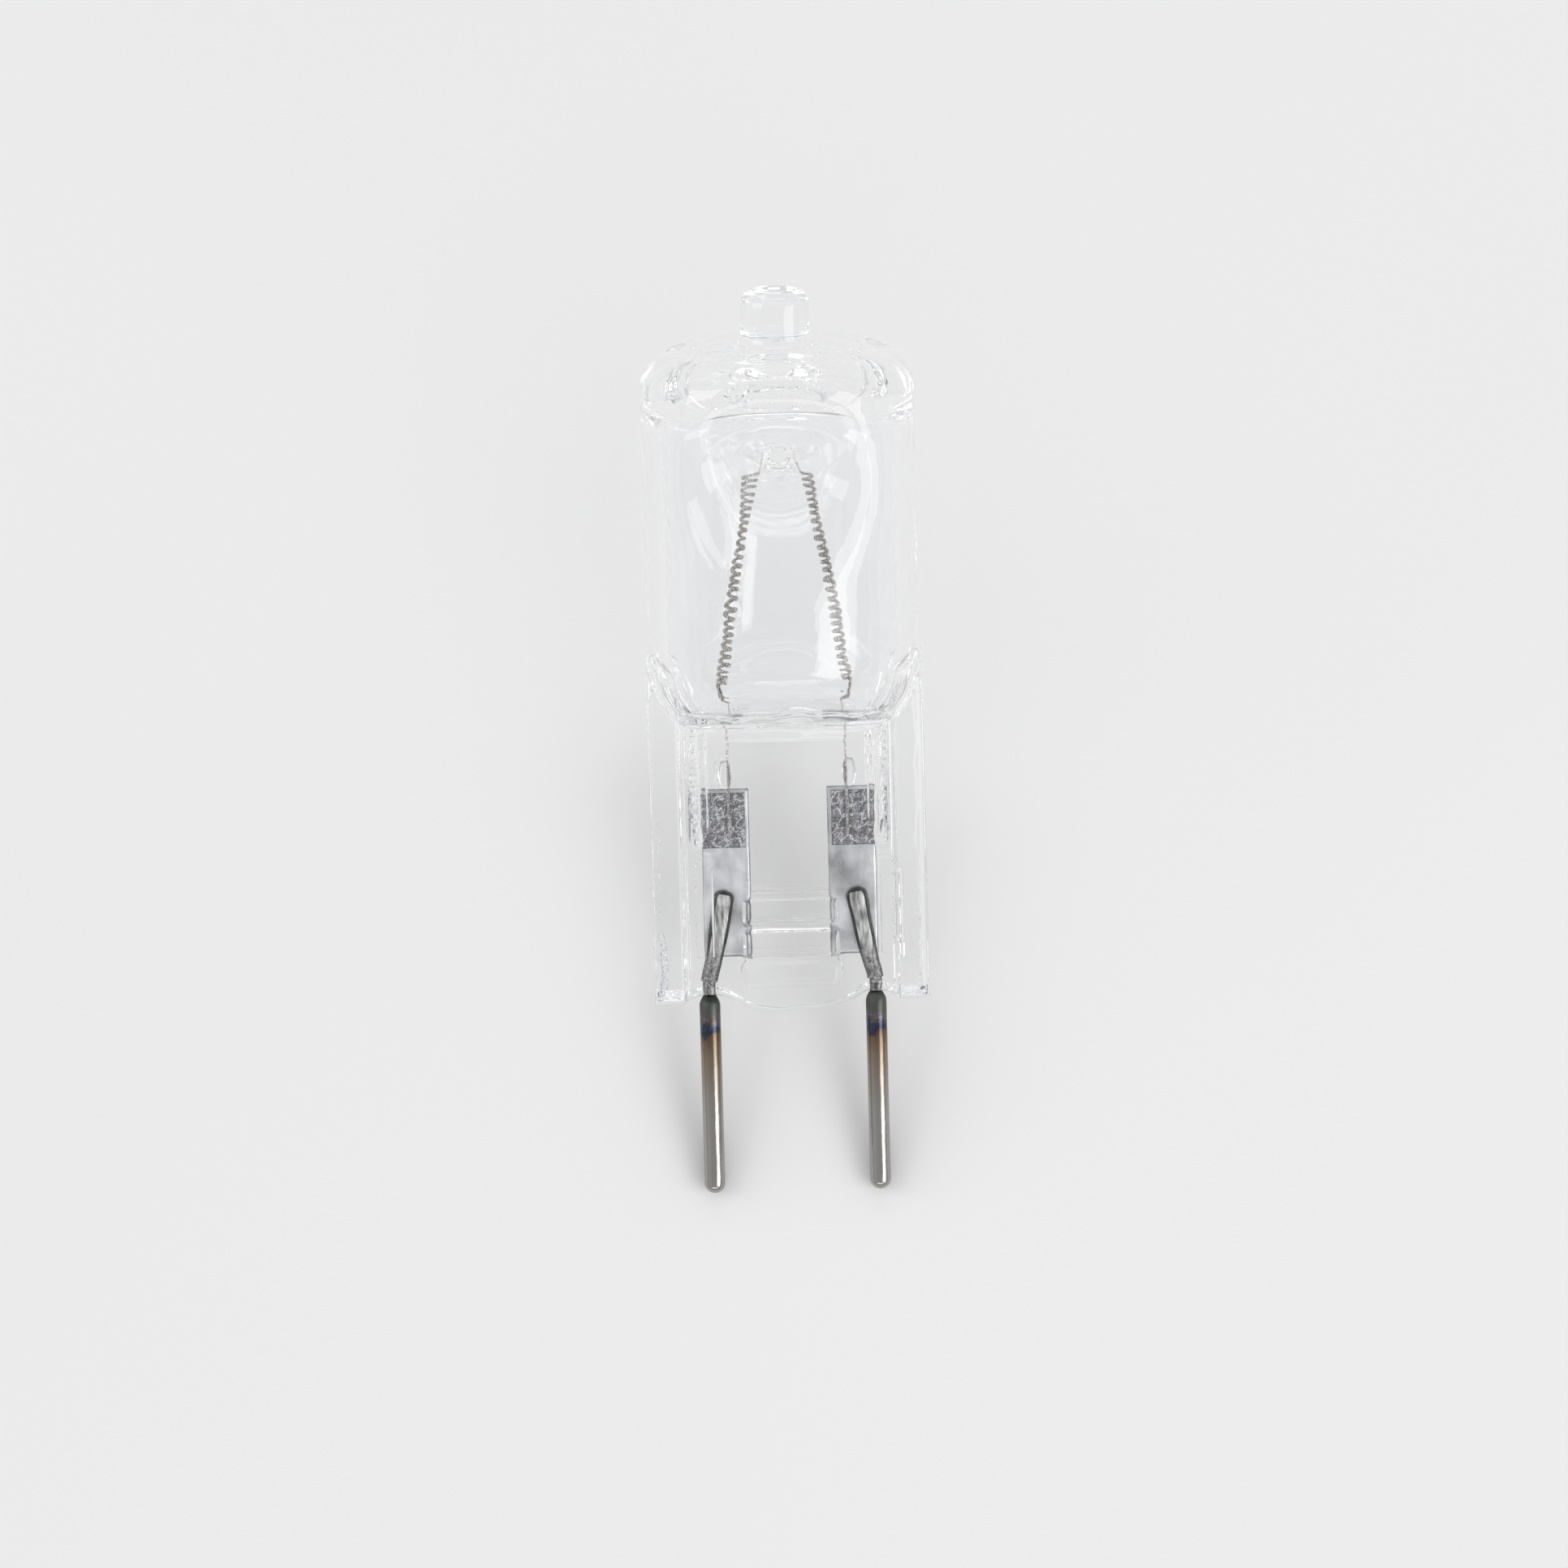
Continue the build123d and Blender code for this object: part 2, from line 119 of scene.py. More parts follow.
class LampGlass(bpy.types.PropertyGroup):
    """Sizes of the glass envelope"""
    tube_diameter: length(13.0, "Outside of the round tube")
    tube_wall: length(1.0, "Thickness of the tube's wall")
    tube_top: length(29.5, "Where the tube starts to round over to its closed end")
    end_corner: length(2, "Rounding between the tube and its closed end, across")
    end_run: length(2.2, "Rounding between the tube and its closed end, along")
    end_rise: length(0.15, "How far the closed end is domed")
    end_rim: length(0.05, "Faint raised rim around the closed end's face")
    end_rim_radius: length(4.05, "Distance of that rim from the axis")
    end_rim_reach: length(0.16, "How far that rim reaches to either side")
    end_wall: length(1.7, "Thickness of the closed end")
    hollow_rise: length(0.15, "How far the inside of the closed end is domed")
    hollow_corner: length(2.2, "Rounding inside the closed end, along")
    hollow_shoulder: length(2.2, "Rounding inside the closed end, across")
    tip_diameter: length(3.26, "Outside of the sealed exhaust tip")
    tip_height: length(2.85, "Height of the exhaust tip over the closed end")
    tip_crown: length(0.03, "How far the exhaust tip's top is domed")
    tip_round: length(0.7, "Rounding of the exhaust tip's top edge")
    tip_root_round: length(0.5, "Rounding between the exhaust tip and the closed end")
    seal_diameter: length(4.7, "Mouth of the hollow under the exhaust tip")
    seal_depth: length(0.05, "Height of the hollow under the exhaust tip")
    hollow_round: length(0.9, "Height over which the hollow rounds over to its floor")
    post_height: length(26.35, "Where the two dimples meet in a post")
    post_thickness: length(0.8, "Glass between the floors of the two dimples")
    post_ring: length(0.3, "Glass around the floor of a dimple")
    floor_width: length(1.0, "Width of a dimple's floor")
    floor_height: length(0.9, "Height of a dimple's floor")
    mouth_width: length(11.4, "Width of a dimple where it opens on the tube")
    mouth_height: length(7.6, "Height of a dimple where it opens on the tube")
    mouth_drop: length(0.2, "How far the mouth sits below the floor")
    mouth_round: length(2.4, "Reach of the rounding at a dimple's mouth")
    dimple_wall: length(0.85, "Thickness of the glass in a dimple, front to back")
    dimple_flare: amount(2.0, "How quickly a dimple opens")
    neck_height: length(3.6, "Height over which the tube is squeezed flat")
    foot_step: length(0.45, "Height of the step that the jaws leave at the foot of the neck")
    foot_depth: length(6.4, "Depth of the neck just above the jaws' step")
    foot_width: length(9.6, "Width of the neck just above the jaws' step")
    neck_floor: length(0.75, "Solid glass between the pinch and the hollow")
    pinch_height: length(13.4, "Height of the flat pinch over the top of the pins")
    pinch_width: length(13.2, "Width of the pinch with its flanges")
    flange_width: length(1.5, "Width of one side flange")
    flange_depth: length(4.4, "Depth of the side flanges, front to back")
    flange_lean: length(0.05, "How far the ears lean inward at the top")
    flange_drop: length(0.15, "How far the flanges reach below the top of the pins")
    web_depth: length(2.6, "Thickness of the flat web, front to back")
    base_round: length(0.65, "Height over which the base's edge rounds over")
    base_reach: length(1.2, "Height over which the rows follow the base's edge")
    base_bulge: length(0.9, "How far the middle of the base hangs down")
    lead_exit: length(0.1, "Height of the notches where the leads come out")
    bar_count: IntProperty(description="Pressed bars on the pinch", default=3, min=0)
    bar_width: length(4.6, "Length of a pressed bar, across the lamp")
    bar_height: length(1.32, "Height of a pressed bar, along the lamp")
    bar_pitch: length(1.56, "Spacing of the pressed bars")
    bar_first: length(1.25, "Height of the lowest bar's middle")
    bar_rise: length(0.3, "How far a bar stands out of the web")
    rib_rise: length(0.3, "How far the rough upright ribs stand out")
    pad_rise: length(0.22, "How far the smooth pads stand out")
    jaw_line_depth: length(0.06, "Height of the wavy ridges at the foot of the neck")
    line_depth: length(0.07, "Depth of the thin line across the top of the web")
    line_pad: length(0.05, "Height of the low pad in the middle of that line")
    groove_depth: length(0.15, "Depth of the grooves between the bars")


class LampMetal(bpy.types.PropertyGroup):
    """Sizes of the foils, tabs, leads and pins"""
    pin_pitch: length(8.0, "Spacing of the two contact pins")
    pin_diameter: length(1.0, "Diameter of a contact pin")
    pin_length: length(9.85, "Length of a contact pin")
    pin_taper: length(0.5, "Length of the taper at the top of a pin")
    lead_diameter: length(0.6, "Diameter of a lead wire")
    lead_straight: length(0.8, "Straight part of a lead above its pin")
    lead_flat_width: length(0.82, "Width of a lead where it is flattened")
    lead_flat_thickness: length(0.3, "Thickness of a lead where it is flattened")
    lead_top: length(4.75, "Height of the flattened end of a lead")
    lead_top_offset: length(3.12, "Distance of a lead's flattened end from the axis")
    lead_gap: length(0.1, "Narrow hollow that the pinch leaves around a lead")
    foil_offset: length(3.02, "Distance of a foil's middle from the axis")
    foil_width: length(2.3, "Width of a sealing foil")
    foil_length: length(8.27, "Length of a sealing foil")
    foil_bottom: length(1.95, "Height of a foil's lower edge")
    foil_thickness: length(0.04, "Thickness of a sealing foil")
    foil_back: length(0.15, "How far a foil's front lies behind the lamp's middle plane")
    tab_width: length(2.1, "Width of a weld tab")
    tab_length: length(2.7, "Length of a weld tab")
    tab_border: length(0.2, "Foil that shows above a weld tab")
    tab_thickness: length(0.05, "Thickness of a weld tab")


class LampFilament(bpy.types.PropertyGroup):
    """Sizes of the filament and of the hollows around its tails"""
    strand_diameter: length(0.2, "Outside of the fine coil")
    wire_diameter: length(0.062, "Diameter of the wire in the fine coil")
    strand_pitch: length(0.085, "Spacing of the fine coil's turns")
    bridge_diameter: length(0.1, "Diameter of the plain wire over the post")
    coil_diameter: length(0.6, "Outside of the wide coil")
    coil_pitch: length(0.38, "Spacing of the wide coil's turns")
    coil_bottom: length(15.1, "Height of a limb's lower end")
    coil_top: length(25.45, "Height of a limb's upper end")
    bottom_offset: length(3.03, "Distance of a limb's lower end from the axis")
    top_offset: length(1.62, "Distance of a limb's upper end from the axis")
    tail_bottom: length(8.02, "Height of a tail's lower end, on its weld tab")
    tail_top: length(11.42, "Height where a tail turns into plain wire")
    channel_diameter: length(0.62, "Narrow hollow that the pinch leaves around a tail")
    channel_shift: length(0.14, "How far that hollow's middle lies outside the tail")
    channel_rise: length(0.2, "How far that hollow reaches above the tail's top")


class LampLook(bpy.types.PropertyGroup):
    """Colours, and the unevenness of the glass"""
    foil_colour: colour((0.63, 0.64, 0.66), "Smooth pale metal of the sealing foils")
    tab_colour: colour((0.20, 0.20, 0.21), "Dark crinkled metal of the weld tabs")
    lead_colour: colour((0.48, 0.48, 0.47), "Mottled metal of the lead wires")
    pin_colour: colour((0.37, 0.355, 0.335), "Bright metal of the contact pins")
    tungsten_colour: colour((0.50, 0.48, 0.46), "Drawn wire of the filament")
    floor_colour: colour((0.86, 0.86, 0.86), "Plain pale floor")
    glass_ripple: amount(0.03, "Unevenness of the glass, in millimetres")


class LampStage(bpy.types.PropertyGroup):
    """Camera and light"""
    camera_height: length(450.0, "Camera above the floor")
    camera_across: length(-0.15, "Camera across the floor")
    camera_along: length(-2.0, "Camera along the floor")
    camera_roll: FloatProperty(
        description="Turn of the picture", default=math.radians(-1.55), unit="ROTATION")
    focal_pixels: amount(11462.0, "Focal length in pixels of the frame")
    box_light: amount(2.5, "Brightness of the large soft box on the right")
    side_light: amount(2.0, "Brightness of the smaller soft box on the left")
    near_light: amount(1.6, "Brightness of the narrow light beyond the pins")
    far_light: amount(1.2, "Brightness of the narrow light beyond the tip")
    sky_edge: amount(0.4, "Brightness low around the lamp")
    sky_side: amount(0.73, "Brightness around the lamp")
    sky_top: amount(0.53, "Brightness above the lamp")


def lengths(group):
    """A group's lengths as plain numbers in millimetres, and its other values as they are."""
    values = {}
    for prop in group.bl_rna.properties:
        if prop.identifier in ("rna_type", "name"):
            continue
        value = getattr(group, prop.identifier)
        values[prop.identifier] = value / MM if getattr(prop, "unit", "") == "LENGTH" else value
    return SimpleNamespace(**values)


def blend(start, end, part):
    """The value that lies a part of the way from start to end."""
    return start + (end - start) * part


def ease(value, start, end):
    """0 up to start, 1 from end on, and a smooth rise between them."""
    part = np.clip((value - start) / (end - start), 0, 1)
    return part * part * (3 - 2 * part)


def squeeze(part):
    """How round the glass is, from flat at 0 to round at 1: the square of a sine."""
    return np.sin(math.pi / 2 * np.clip(part, 0, 1)) ** 2


def lower(a, b, reach):
    """The lesser of two heights, rounded over where they come within reach of each other."""
    part = np.clip(0.5 + 0.5 * (b - a) / reach, 0, 1)
    return b * (1 - part) + a * part - reach * part * (1 - part)


def joined(a, b, power=5):
    """The greater of two heights, slightly rounded in the corner between them."""
    return (np.maximum(a, 0) ** power + np.maximum(b, 0) ** power) ** (1 / power)


def softened(values, mask, rounds):
    """Heights on a grid, drawn toward the mean of their neighbours round by round as far as the mask says."""
    for _ in range(rounds):
        mean = values.copy()
        mean[1:-1, 1:-1] = (values[:-2, 1:-1] + values[2:, 1:-1] + values[1:-1, :-2] + values[1:-1, 2:]) / 4
        values = blend(values, mean, mask)
    return values


def ripple(x, s, seed):
    """A gentle unevenness between -1 and 0: a sum of sines that run in different directions."""
    total = 0
    for step in range(6):
        turn = 2.4 * step + seed
        pace = 0.7 + 0.45 * step
        way = x * math.cos(turn) + s * math.sin(turn)
        total = total + np.sin(pace * way + 1.7 * turn) / (1 + 0.5 * step)
    return total / 6.4 - 0.5


def pin_top():
    """The middle between the tops of the two pins, where heights along the lamp start."""
    return PIN_MIDDLE + ALONG * (bpy.context.scene.lamp_metal.pin_length / 2)


def place(x, front, s):
    """Row coordinates in metres of points in millimetres across, in front of and along the lamp."""
    x, front, s = np.broadcast_arrays(x, front, s)
    return pin_top() + MM * (x[..., None] * ACROSS + front[..., None] * FRONT + s[..., None] * ALONG)


def grid_faces(rows, columns, wrap=False):
    """The quads of a grid of points kept row by row; wrap joins the last column to the first."""
    index = np.arange(rows * columns).reshape(rows, columns)
    if wrap:
        index = np.concatenate((index, index[:, :1]), axis=1)
    return np.stack((index[:-1, :-1], index[:-1, 1:], index[1:, 1:], index[1:, :-1]), axis=-1).reshape(-1, 4)


def gather(parts):
    """Several (points, faces) pairs as one pair."""
    points, faces, start = [], [], 0
    for part_points, part_faces in parts:
        part_points = part_points.reshape(-1, 3)
        points.append(part_points)
        faces.append(part_faces + start)
        start += len(part_points)
    return np.concatenate(points), np.concatenate(faces)


def make_piece(name, points, faces, material, node, slot, rim=None):
    """A closed, smooth mesh from points and quads, which rides on the lamp and stands for its CAD node.

    Points that coincide become one, and a quad that loses a corner that way becomes a triangle.
    A rim value for each point, when there is one, is kept as an attribute for the material.
    """
    spots = np.round(points / 1e-8).astype(np.int64)
    _, first, back = np.unique(spots, axis=0, return_index=True, return_inverse=True)
    faces = back.reshape(-1)[faces]
    keep = faces != np.roll(faces, -1, axis=1)
    count = keep.sum(axis=1)
    faces, keep, count = faces[count > 2], keep[count > 2], count[count > 2]
    used, loops = np.unique(faces[keep], return_inverse=True)
    mesh = bpy.data.meshes.new(name)
    mesh.vertices.add(len(used))
    mesh.vertices.foreach_set("co", points[first[used]].astype(np.float32).ravel())
    mesh.loops.add(len(loops))
    mesh.loops.foreach_set("vertex_index", loops.reshape(-1).astype(np.int32))
    mesh.polygons.add(len(count))
    mesh.polygons.foreach_set("loop_start", (np.cumsum(count) - count).astype(np.int32))
    mesh.polygons.foreach_set("use_smooth", np.ones(len(count), dtype=bool))
    mesh.update(calc_edges=True)
    if mesh.validate():
        raise RuntimeError("the mesh of " + name + " has a fault")
    if rim is not None:
        kept = mesh.attributes.new("rim", "FLOAT", "POINT")
        kept.data.foreach_set("value", rim.reshape(-1)[first[used]].astype(np.float32))
    mesh.materials.append(material)
    piece = bpy.data.objects.new(name, mesh)
    bpy.context.scene.collection.objects.link(piece)
    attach(piece, "root")
    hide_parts(node)


def facing_sheets(x, front, back, s, hollow=False, keep=None):
    """A closed skin from two sheets over one grid, in front and behind, that meet at the edges."""
    rows, columns = x.shape
    faces = grid_faces(rows, columns)
    if keep is not None:
        faces = faces[keep.reshape(-1)]
    points = np.concatenate((place(x, front, s), place(x, -back, s))).reshape(-1, 3)
    behind = faces + rows * columns
    pair = (faces, behind[:, ::-1]) if hollow else (faces[:, ::-1], behind)
    return points, np.concatenate(pair)


def unit(rows):
    """Directions made one long."""
    return rows / np.linalg.norm(rows, axis=1, keepdims=True)


def around_turn(count):
    """Even angles around one full turn."""
    return np.linspace(0, 2 * math.pi, count + 1)[:-1]


def arc(centre, radius, start, end, count):
    """Points (distance from the axis, height) on a circle's arc, angles in degrees."""
    angle = np.radians(np.linspace(start, end, count))
    return np.stack((centre[0] + radius * np.cos(angle), centre[1] + radius * np.sin(angle)), axis=1)


def glass_sizes(group):
    """The glass sizes in millimetres, with the ones that follow from them."""
    g = lengths(group)
    g.radius = g.tube_diameter / 2
    g.bore = g.radius - g.tube_wall
    g.end_face = g.tube_top + g.end_corner
    g.tube_end = g.end_face - g.end_run
    g.neck_top = g.pinch_height + g.neck_height
    g.hollow_floor = g.pinch_height + g.neck_floor
    g.hollow_top = g.end_face - g.end_wall
    g.half = g.pinch_width / 2
    g.web_half = g.web_depth / 2
    g.flange_half = g.flange_depth / 2
    g.flange_inner = g.half - g.flange_width
    g.post_half_width = g.floor_width / 2 + g.post_ring
    g.post_half_height = g.floor_height / 2 + g.post_ring
    return g


def dimple_share(g, x, s, half_width, half_height, extra):
    """How far a place lies from a dimple's floor, 0 on the floor and 1 at the mouth.

    The outline of the dimple is a rounded oblong that grows from the floor's size to the mouth's.
    The share is the growth at which that outline passes through the place, found by halving.
    """
    furthest, halvings = 1.8, 26
    low, high = np.zeros_like(x), np.full_like(x, furthest)
    for _ in range(halvings):
        part = (low + high) / 2
        flare = part ** g.dimple_flare
        wide = blend(half_width, g.mouth_width / 2 + extra, flare)
        tall = blend(half_height, g.mouth_height / 2 + extra, flare)
        power = blend(3.0, 2.2, np.minimum(2 * part, 1))
        centre = g.post_height - g.mouth_drop * flare
        outside = (np.abs(x) / wide) ** power + (np.abs(s - centre) / tall) ** power > 1
        low, high = np.where(outside, part, low), np.where(outside, high, part)
    return low


def dimple_bell(g, x, s):
    """Depth of a dimple's wall: the floor's plus the share of the way to the mouth, rounded at the floor."""
    part = dimple_share(g, x, s, g.floor_width / 2, g.floor_height / 2, 0)
    soft = 0.12
    part = (part - soft * (1 - np.exp(-part / soft))) / (1 - soft * (1 - math.exp(-1 / soft)))
    return blend(g.post_thickness / 2, g.radius, part)


def end_profile(g):
    """The closed end from the tip's middle to the tube.

    Domed top, round edge, side and root of the tip, then the domed face with its rim and an oval corner.
    """
    tip, top = g.tip_diameter / 2, g.end_face + g.tip_height
    flat, root, finer = g.radius - g.end_corner, tip + g.tip_root_round, 3.5

    def face(r):
        rim = g.end_rim * np.exp(-((r - g.end_rim_radius) / g.end_rim_reach) ** 2)
        return g.end_face + g.end_rise * (1 - (r / flat) ** 2) + rim

    part = np.linspace(0, 1, 5)
    cap = np.stack((part * (tip - g.tip_round), top - g.tip_crown * part ** 2), axis=1)
    edge = arc((tip - g.tip_round, top - g.tip_crown - g.tip_round), g.tip_round, 90, 0, 9)
    fillet = arc((root, face(root) + g.tip_root_round), g.tip_root_round, 180, 265, 8)
    side = np.linspace(edge[-1], fillet[0], 5)[1:-1]
    across = np.concatenate((np.linspace(root, finer, 7)[1:-1], np.linspace(finer, flat, 13)[:-1]))
    dome = np.stack((across, face(across)), axis=1)
    turn = np.radians(np.linspace(90, 0, 29))
    rise = g.tube_end + g.end_run * np.sin(turn) ** 0.8
    corner = np.stack((flat + g.end_corner * np.cos(turn), rise), axis=1)
    return np.concatenate((cap, edge[1:], side, fillet, dome, corner))


def hollow_profile(g):
    """The top of the hollow: the cone under the tip, its round lip, the inner face and the inner corner."""
    inner = g.bore - g.hollow_shoulder
    peak, mouth = g.hollow_top + g.seal_depth, g.seal_diameter / 2
    cone_r = np.array((0, 0.2, 0.4, 0.6, 0.85, 1.1, 1.35, 1.6, 1.85, 2.05))
    cone_s = peak - g.seal_depth * ease(cone_r, 0.0, mouth)
    face_r = np.linspace(mouth - 0.18, inner, 8)
    lip = 0.02 * np.exp(-((face_r - mouth) / 0.16) ** 2)
    face_s = g.hollow_top + g.hollow_rise * (1 - (face_r / inner) ** 2) - lip
    corner = arc((inner, 0), g.hollow_shoulder, 86, 0, 17)
    corner[:, 1] = g.hollow_top + (corner[:, 1] / g.hollow_shoulder - 1) * g.hollow_corner
    return np.concatenate((np.stack((cone_r, cone_s), axis=1), np.stack((face_r, face_s), axis=1), corner))


def neck_part(g, s):
    """How far up the neck a height lies: 0 at the pinch and 1 at the round tube."""
    return np.clip((s - g.pinch_height) / g.neck_height, 0, 1)


def neck_sizes(g, s):
    """Half width, half depth and squareness of the neck: squarish at its foot, the round tube at its top."""
    part = neck_part(g, s)
    wide = blend(g.foot_width / 2, g.radius, 1 - (1 - part) ** 1.5)
    foot = blend(g.web_half, g.foot_depth / 2, ease(s, g.pinch_height, g.pinch_height + g.foot_step))
    return wide, blend(foot, g.radius, squeeze(part)), 2 + 5 * (1 - part) ** 2


def oblong_depth(x, wide, deep, power):
    """Half the depth at x of a section that is an ellipse at power 2 and squarer above it."""
    return deep * np.clip(1 - (np.abs(x) / wide) ** power, 0, None) ** (1 / power)


def half_width(g, s):
    """Half the width of the outline: the round tube, the squeezed neck, or the ears and flanges beside it."""
    part = neck_part(g, s)
    return np.where(s < g.neck_top, np.maximum(neck_sizes(g, s)[0], g.half - g.flange_lean * part), g.radius)


def neck_depth(g, x, s):
    """Half the depth of the tube and the neck, which ends a little below the top of the pinch."""
    wide, deep, power = neck_sizes(g, s)
    return oblong_depth(x, wide, deep * (1 - ease(g.pinch_height - s, 0, 0.9)), power)


def pinch_depth(g, x, s):
    """Half the depth of the pinch: a flat web between two deeper flanges, with upright sides."""
    part = neck_part(g, s)
    squareness, web_fade, ear_fade, edge = 16, 1.4, 1.2, 0.08
    side = oblong_depth(x, g.half - g.flange_lean * part, 1, squareness)
    web = g.web_half * (1 - ease(s, g.pinch_height, g.pinch_height + web_fade))
    flange = g.flange_half * (1 - ease(s, g.neck_top - ear_fade, g.neck_top))
    return side * blend(web, flange, ease(np.abs(x), g.flange_inner - edge, g.flange_inner + edge))


def plateau(x, s, across, along, wide, tall, edge):
    """1 inside an oblong, 0 outside, with soft edges."""
    inside = ease(wide / 2 - np.abs(x - across), -edge, edge)
    return inside * ease(tall / 2 - np.abs(s - along), -edge, edge)


def cushion(x, s, centre, wide, tall):
    """A pressed bar: 1 in its middle, slightly crowned, with steep sides and ends that round over."""
    foot, brow = -0.06, 0.16
    crown = 1 - 0.25 * (np.abs(s - centre) / (tall / 2)) ** 2
    corner = 0.35 * np.clip(np.abs(x) - wide / 2 + 0.5, 0, None) ** 2
    along = ease(tall / 2 - corner - np.abs(s - centre), foot, brow)
    return crown * along * ease(wide / 2 - np.abs(x), foot, brow)


def pressed_pattern(g, x, s):
    """What the jaws pressed into the web: bars with grooves between them, rough ribs, smooth pads, a line."""
    rise = 0
    for index in range(g.bar_count):
        centre = g.bar_first + index * g.bar_pitch
        rise = rise + g.bar_rise * cushion(x, s, centre, g.bar_width, g.bar_height)
        groove = np.exp(-((s - centre - g.bar_pitch / 2) / 0.07) ** 2) * (index + 1 < g.bar_count)
        rise = rise - g.groove_depth * groove * ease(g.bar_width / 2 - np.abs(x), -0.1, 0.1)
    rough = 1 + 0.8 * np.sin(11 * s + 3 * np.sin(2.3 * s)) * np.sin(5.1 * s + 7 * x)
    for side in SIDES.values():
        rise = rise + g.rib_rise * rough * plateau(side * x, s, *WIDE_RIB)
        rise = rise + 0.5 * g.rib_rise * rough * plateau(side * x, s, *THIN_RIB)
        rise = rise + g.pad_rise * plateau(side * (x - PAD_SHIFT), s, *PAD)
    line = np.exp(-((s - LINE_HEIGHT) / 0.05) ** 2) * ease(2.9 - np.abs(x), 0, 0.3)
    return rise - g.line_depth * line + g.line_pad * plateau(x, s, *LINE_PAD)


def jaw_lines(g, x, s):
    """The shallow wavy ridges that the jaws leave across the foot of the neck."""
    total = 0
    for index, level in enumerate(JAW_LINES):
        sway = 0.10 * np.sin(0.9 * x + 1.3 * index) + 0.05 * np.sin(2.3 * x + 2.1 * index)
        total = total + (-1) ** index * np.exp(-((s - g.pinch_height - level - sway) / 0.13) ** 2)
    return total


def clustered(even, edges, gap):
    """A rising row of values with four more of them close about each edge."""
    near = np.array(edges)[:, None] + gap * np.array((-1.5, -0.5, 0.5, 1.5))
    near = near[(near > even[0]) & (near < even[-1])]
    far = even[np.min(np.abs(even[:, None] - near), axis=1) > 0.4 * gap]
    return np.sort(np.concatenate((far, near)))


def base_edge(g, x):
    """Height of the base's edge: dropped flanges, notches for the leads and a bulge between them."""
    away = np.abs(x)
    notch_inner, notch_outer = 3.55, 4.45
    bulge = (g.lead_exit + g.base_bulge) * np.clip(1 - (away / notch_inner) ** 2, 0, None)
    uneven = (0.07 * np.sin(1.7 * x + 1) + 0.03 * np.sin(3.9 * x)) * ease(g.flange_inner - away, 0, 0.8)
    drop = (g.lead_exit + g.flange_drop) * ease(away, notch_outer, g.flange_inner)
    return g.lead_exit - bulge - drop + uneven


def outer_skin(g, unevenness):
    """The outside of the glass: a turned closed end, a dimpled tube, a squeezed neck and a pressed pinch.

    Each row lies across the lamp and each column runs from the tip to the base.
    A row's points sit at the sine of an even angle times the half width there, in front and behind.
    """
    even = np.linspace(-1, 1, 85)
    steps = np.array((g.bar_width / 2, *FINE_COLUMNS, g.flange_inner)) / g.half
    across = np.sin(math.pi / 2 * (0.6 * even + 0.4 * even ** 3))
    angle = np.arcsin(clustered(across, np.concatenate((-steps, steps)), 0.006))
    end = end_profile(g)[:-1]
    over, under, foot = g.post_height + 1.4, g.post_height - 1.6, g.pinch_height + 0.75
    tube = np.concatenate((np.linspace(g.tube_end, over, 12), np.linspace(over, under, 28)[1:],
                           np.linspace(under, g.neck_top, 24)[1:]))
    neck = np.concatenate((np.linspace(g.neck_top, foot, 15)[1:], np.linspace(foot, g.pinch_height, 14)[1:]))
    upper = clustered(np.linspace(BARS_TOP, g.pinch_height, 32)[:-1], FINE_ROWS, 0.03)[::-1]
    bars = g.bar_first + g.bar_pitch * np.arange(g.bar_count)
    bar_edges = np.concatenate((bars - g.bar_height / 2 + 0.05, bars + g.bar_height / 2 - 0.05))
    barred = clustered(np.linspace(BASE_TOP, BARS_TOP, 34)[:-1], bar_edges, 0.055)[::-1]
    lowest = BASE_TOP * (1 - np.sin(np.linspace(0, math.pi / 2, 11)[1:]))
    below = np.concatenate((tube, neck, upper, barred, lowest))
    level = np.concatenate((end[:, 1], below))[:, None]
    wide = np.concatenate((end[:, 0], half_width(g, below)))[:, None]
    near_post = np.exp(-((level - g.post_height) / 2.2) ** 2)
    x = wide * np.sin(angle) * (1 - 0.45 * near_post * np.exp(-(np.sin(angle) / 0.22) ** 2))
    base = base_edge(g, x)
    s = level + base * np.clip(1 - level / g.base_reach, 0, 1) ** 2
    round_depth = np.sqrt(np.maximum(wide ** 2 - x ** 2, 0))
    tube_depth, jaw_depth = neck_depth(g, x, s), pinch_depth(g, x, s)
    crease = np.exp(-(tube_depth - jaw_depth) ** 2) * ease(np.minimum(tube_depth, jaw_depth), 0.1, 0.6)
    crease = crease * ease(s, g.pinch_height, g.pinch_height + 0.5)
    depth = np.where(level > g.tube_end, round_depth, softened(joined(tube_depth, jaw_depth), crease, 8))
    depth = lower(depth, dimple_bell(g, x, s), np.minimum(g.mouth_round, depth + 1e-6))
    closing = np.clip((s - base) / g.base_round, 0, 1)
    closing = np.where(level < g.base_reach, (1 - (1 - closing) ** 3) ** (1 / 3), 1)
    inside = ease(g.flange_inner - np.abs(x), 0, 0.4)
    lines = g.jaw_line_depth * jaw_lines(g, x, s) * inside
    pressed = pressed_pattern(g, x, s) * (s < g.pinch_height)
    calm = np.cos(angle) ** 0.5 * ease(g.tube_end - level, -0.5, 2)
    front = (depth + lines + pressed + unevenness * ripple(x, s, 0.3) * calm) * closing
    back = (depth + lines + 0.7 * pressed + unevenness * ripple(x, s, 4.1) * calm) * closing
    for sheet in (front, back):
        sheet[:, [0, -1]] = 0
        sheet[-1] = 0
    return facing_sheets(x, front, back, s)


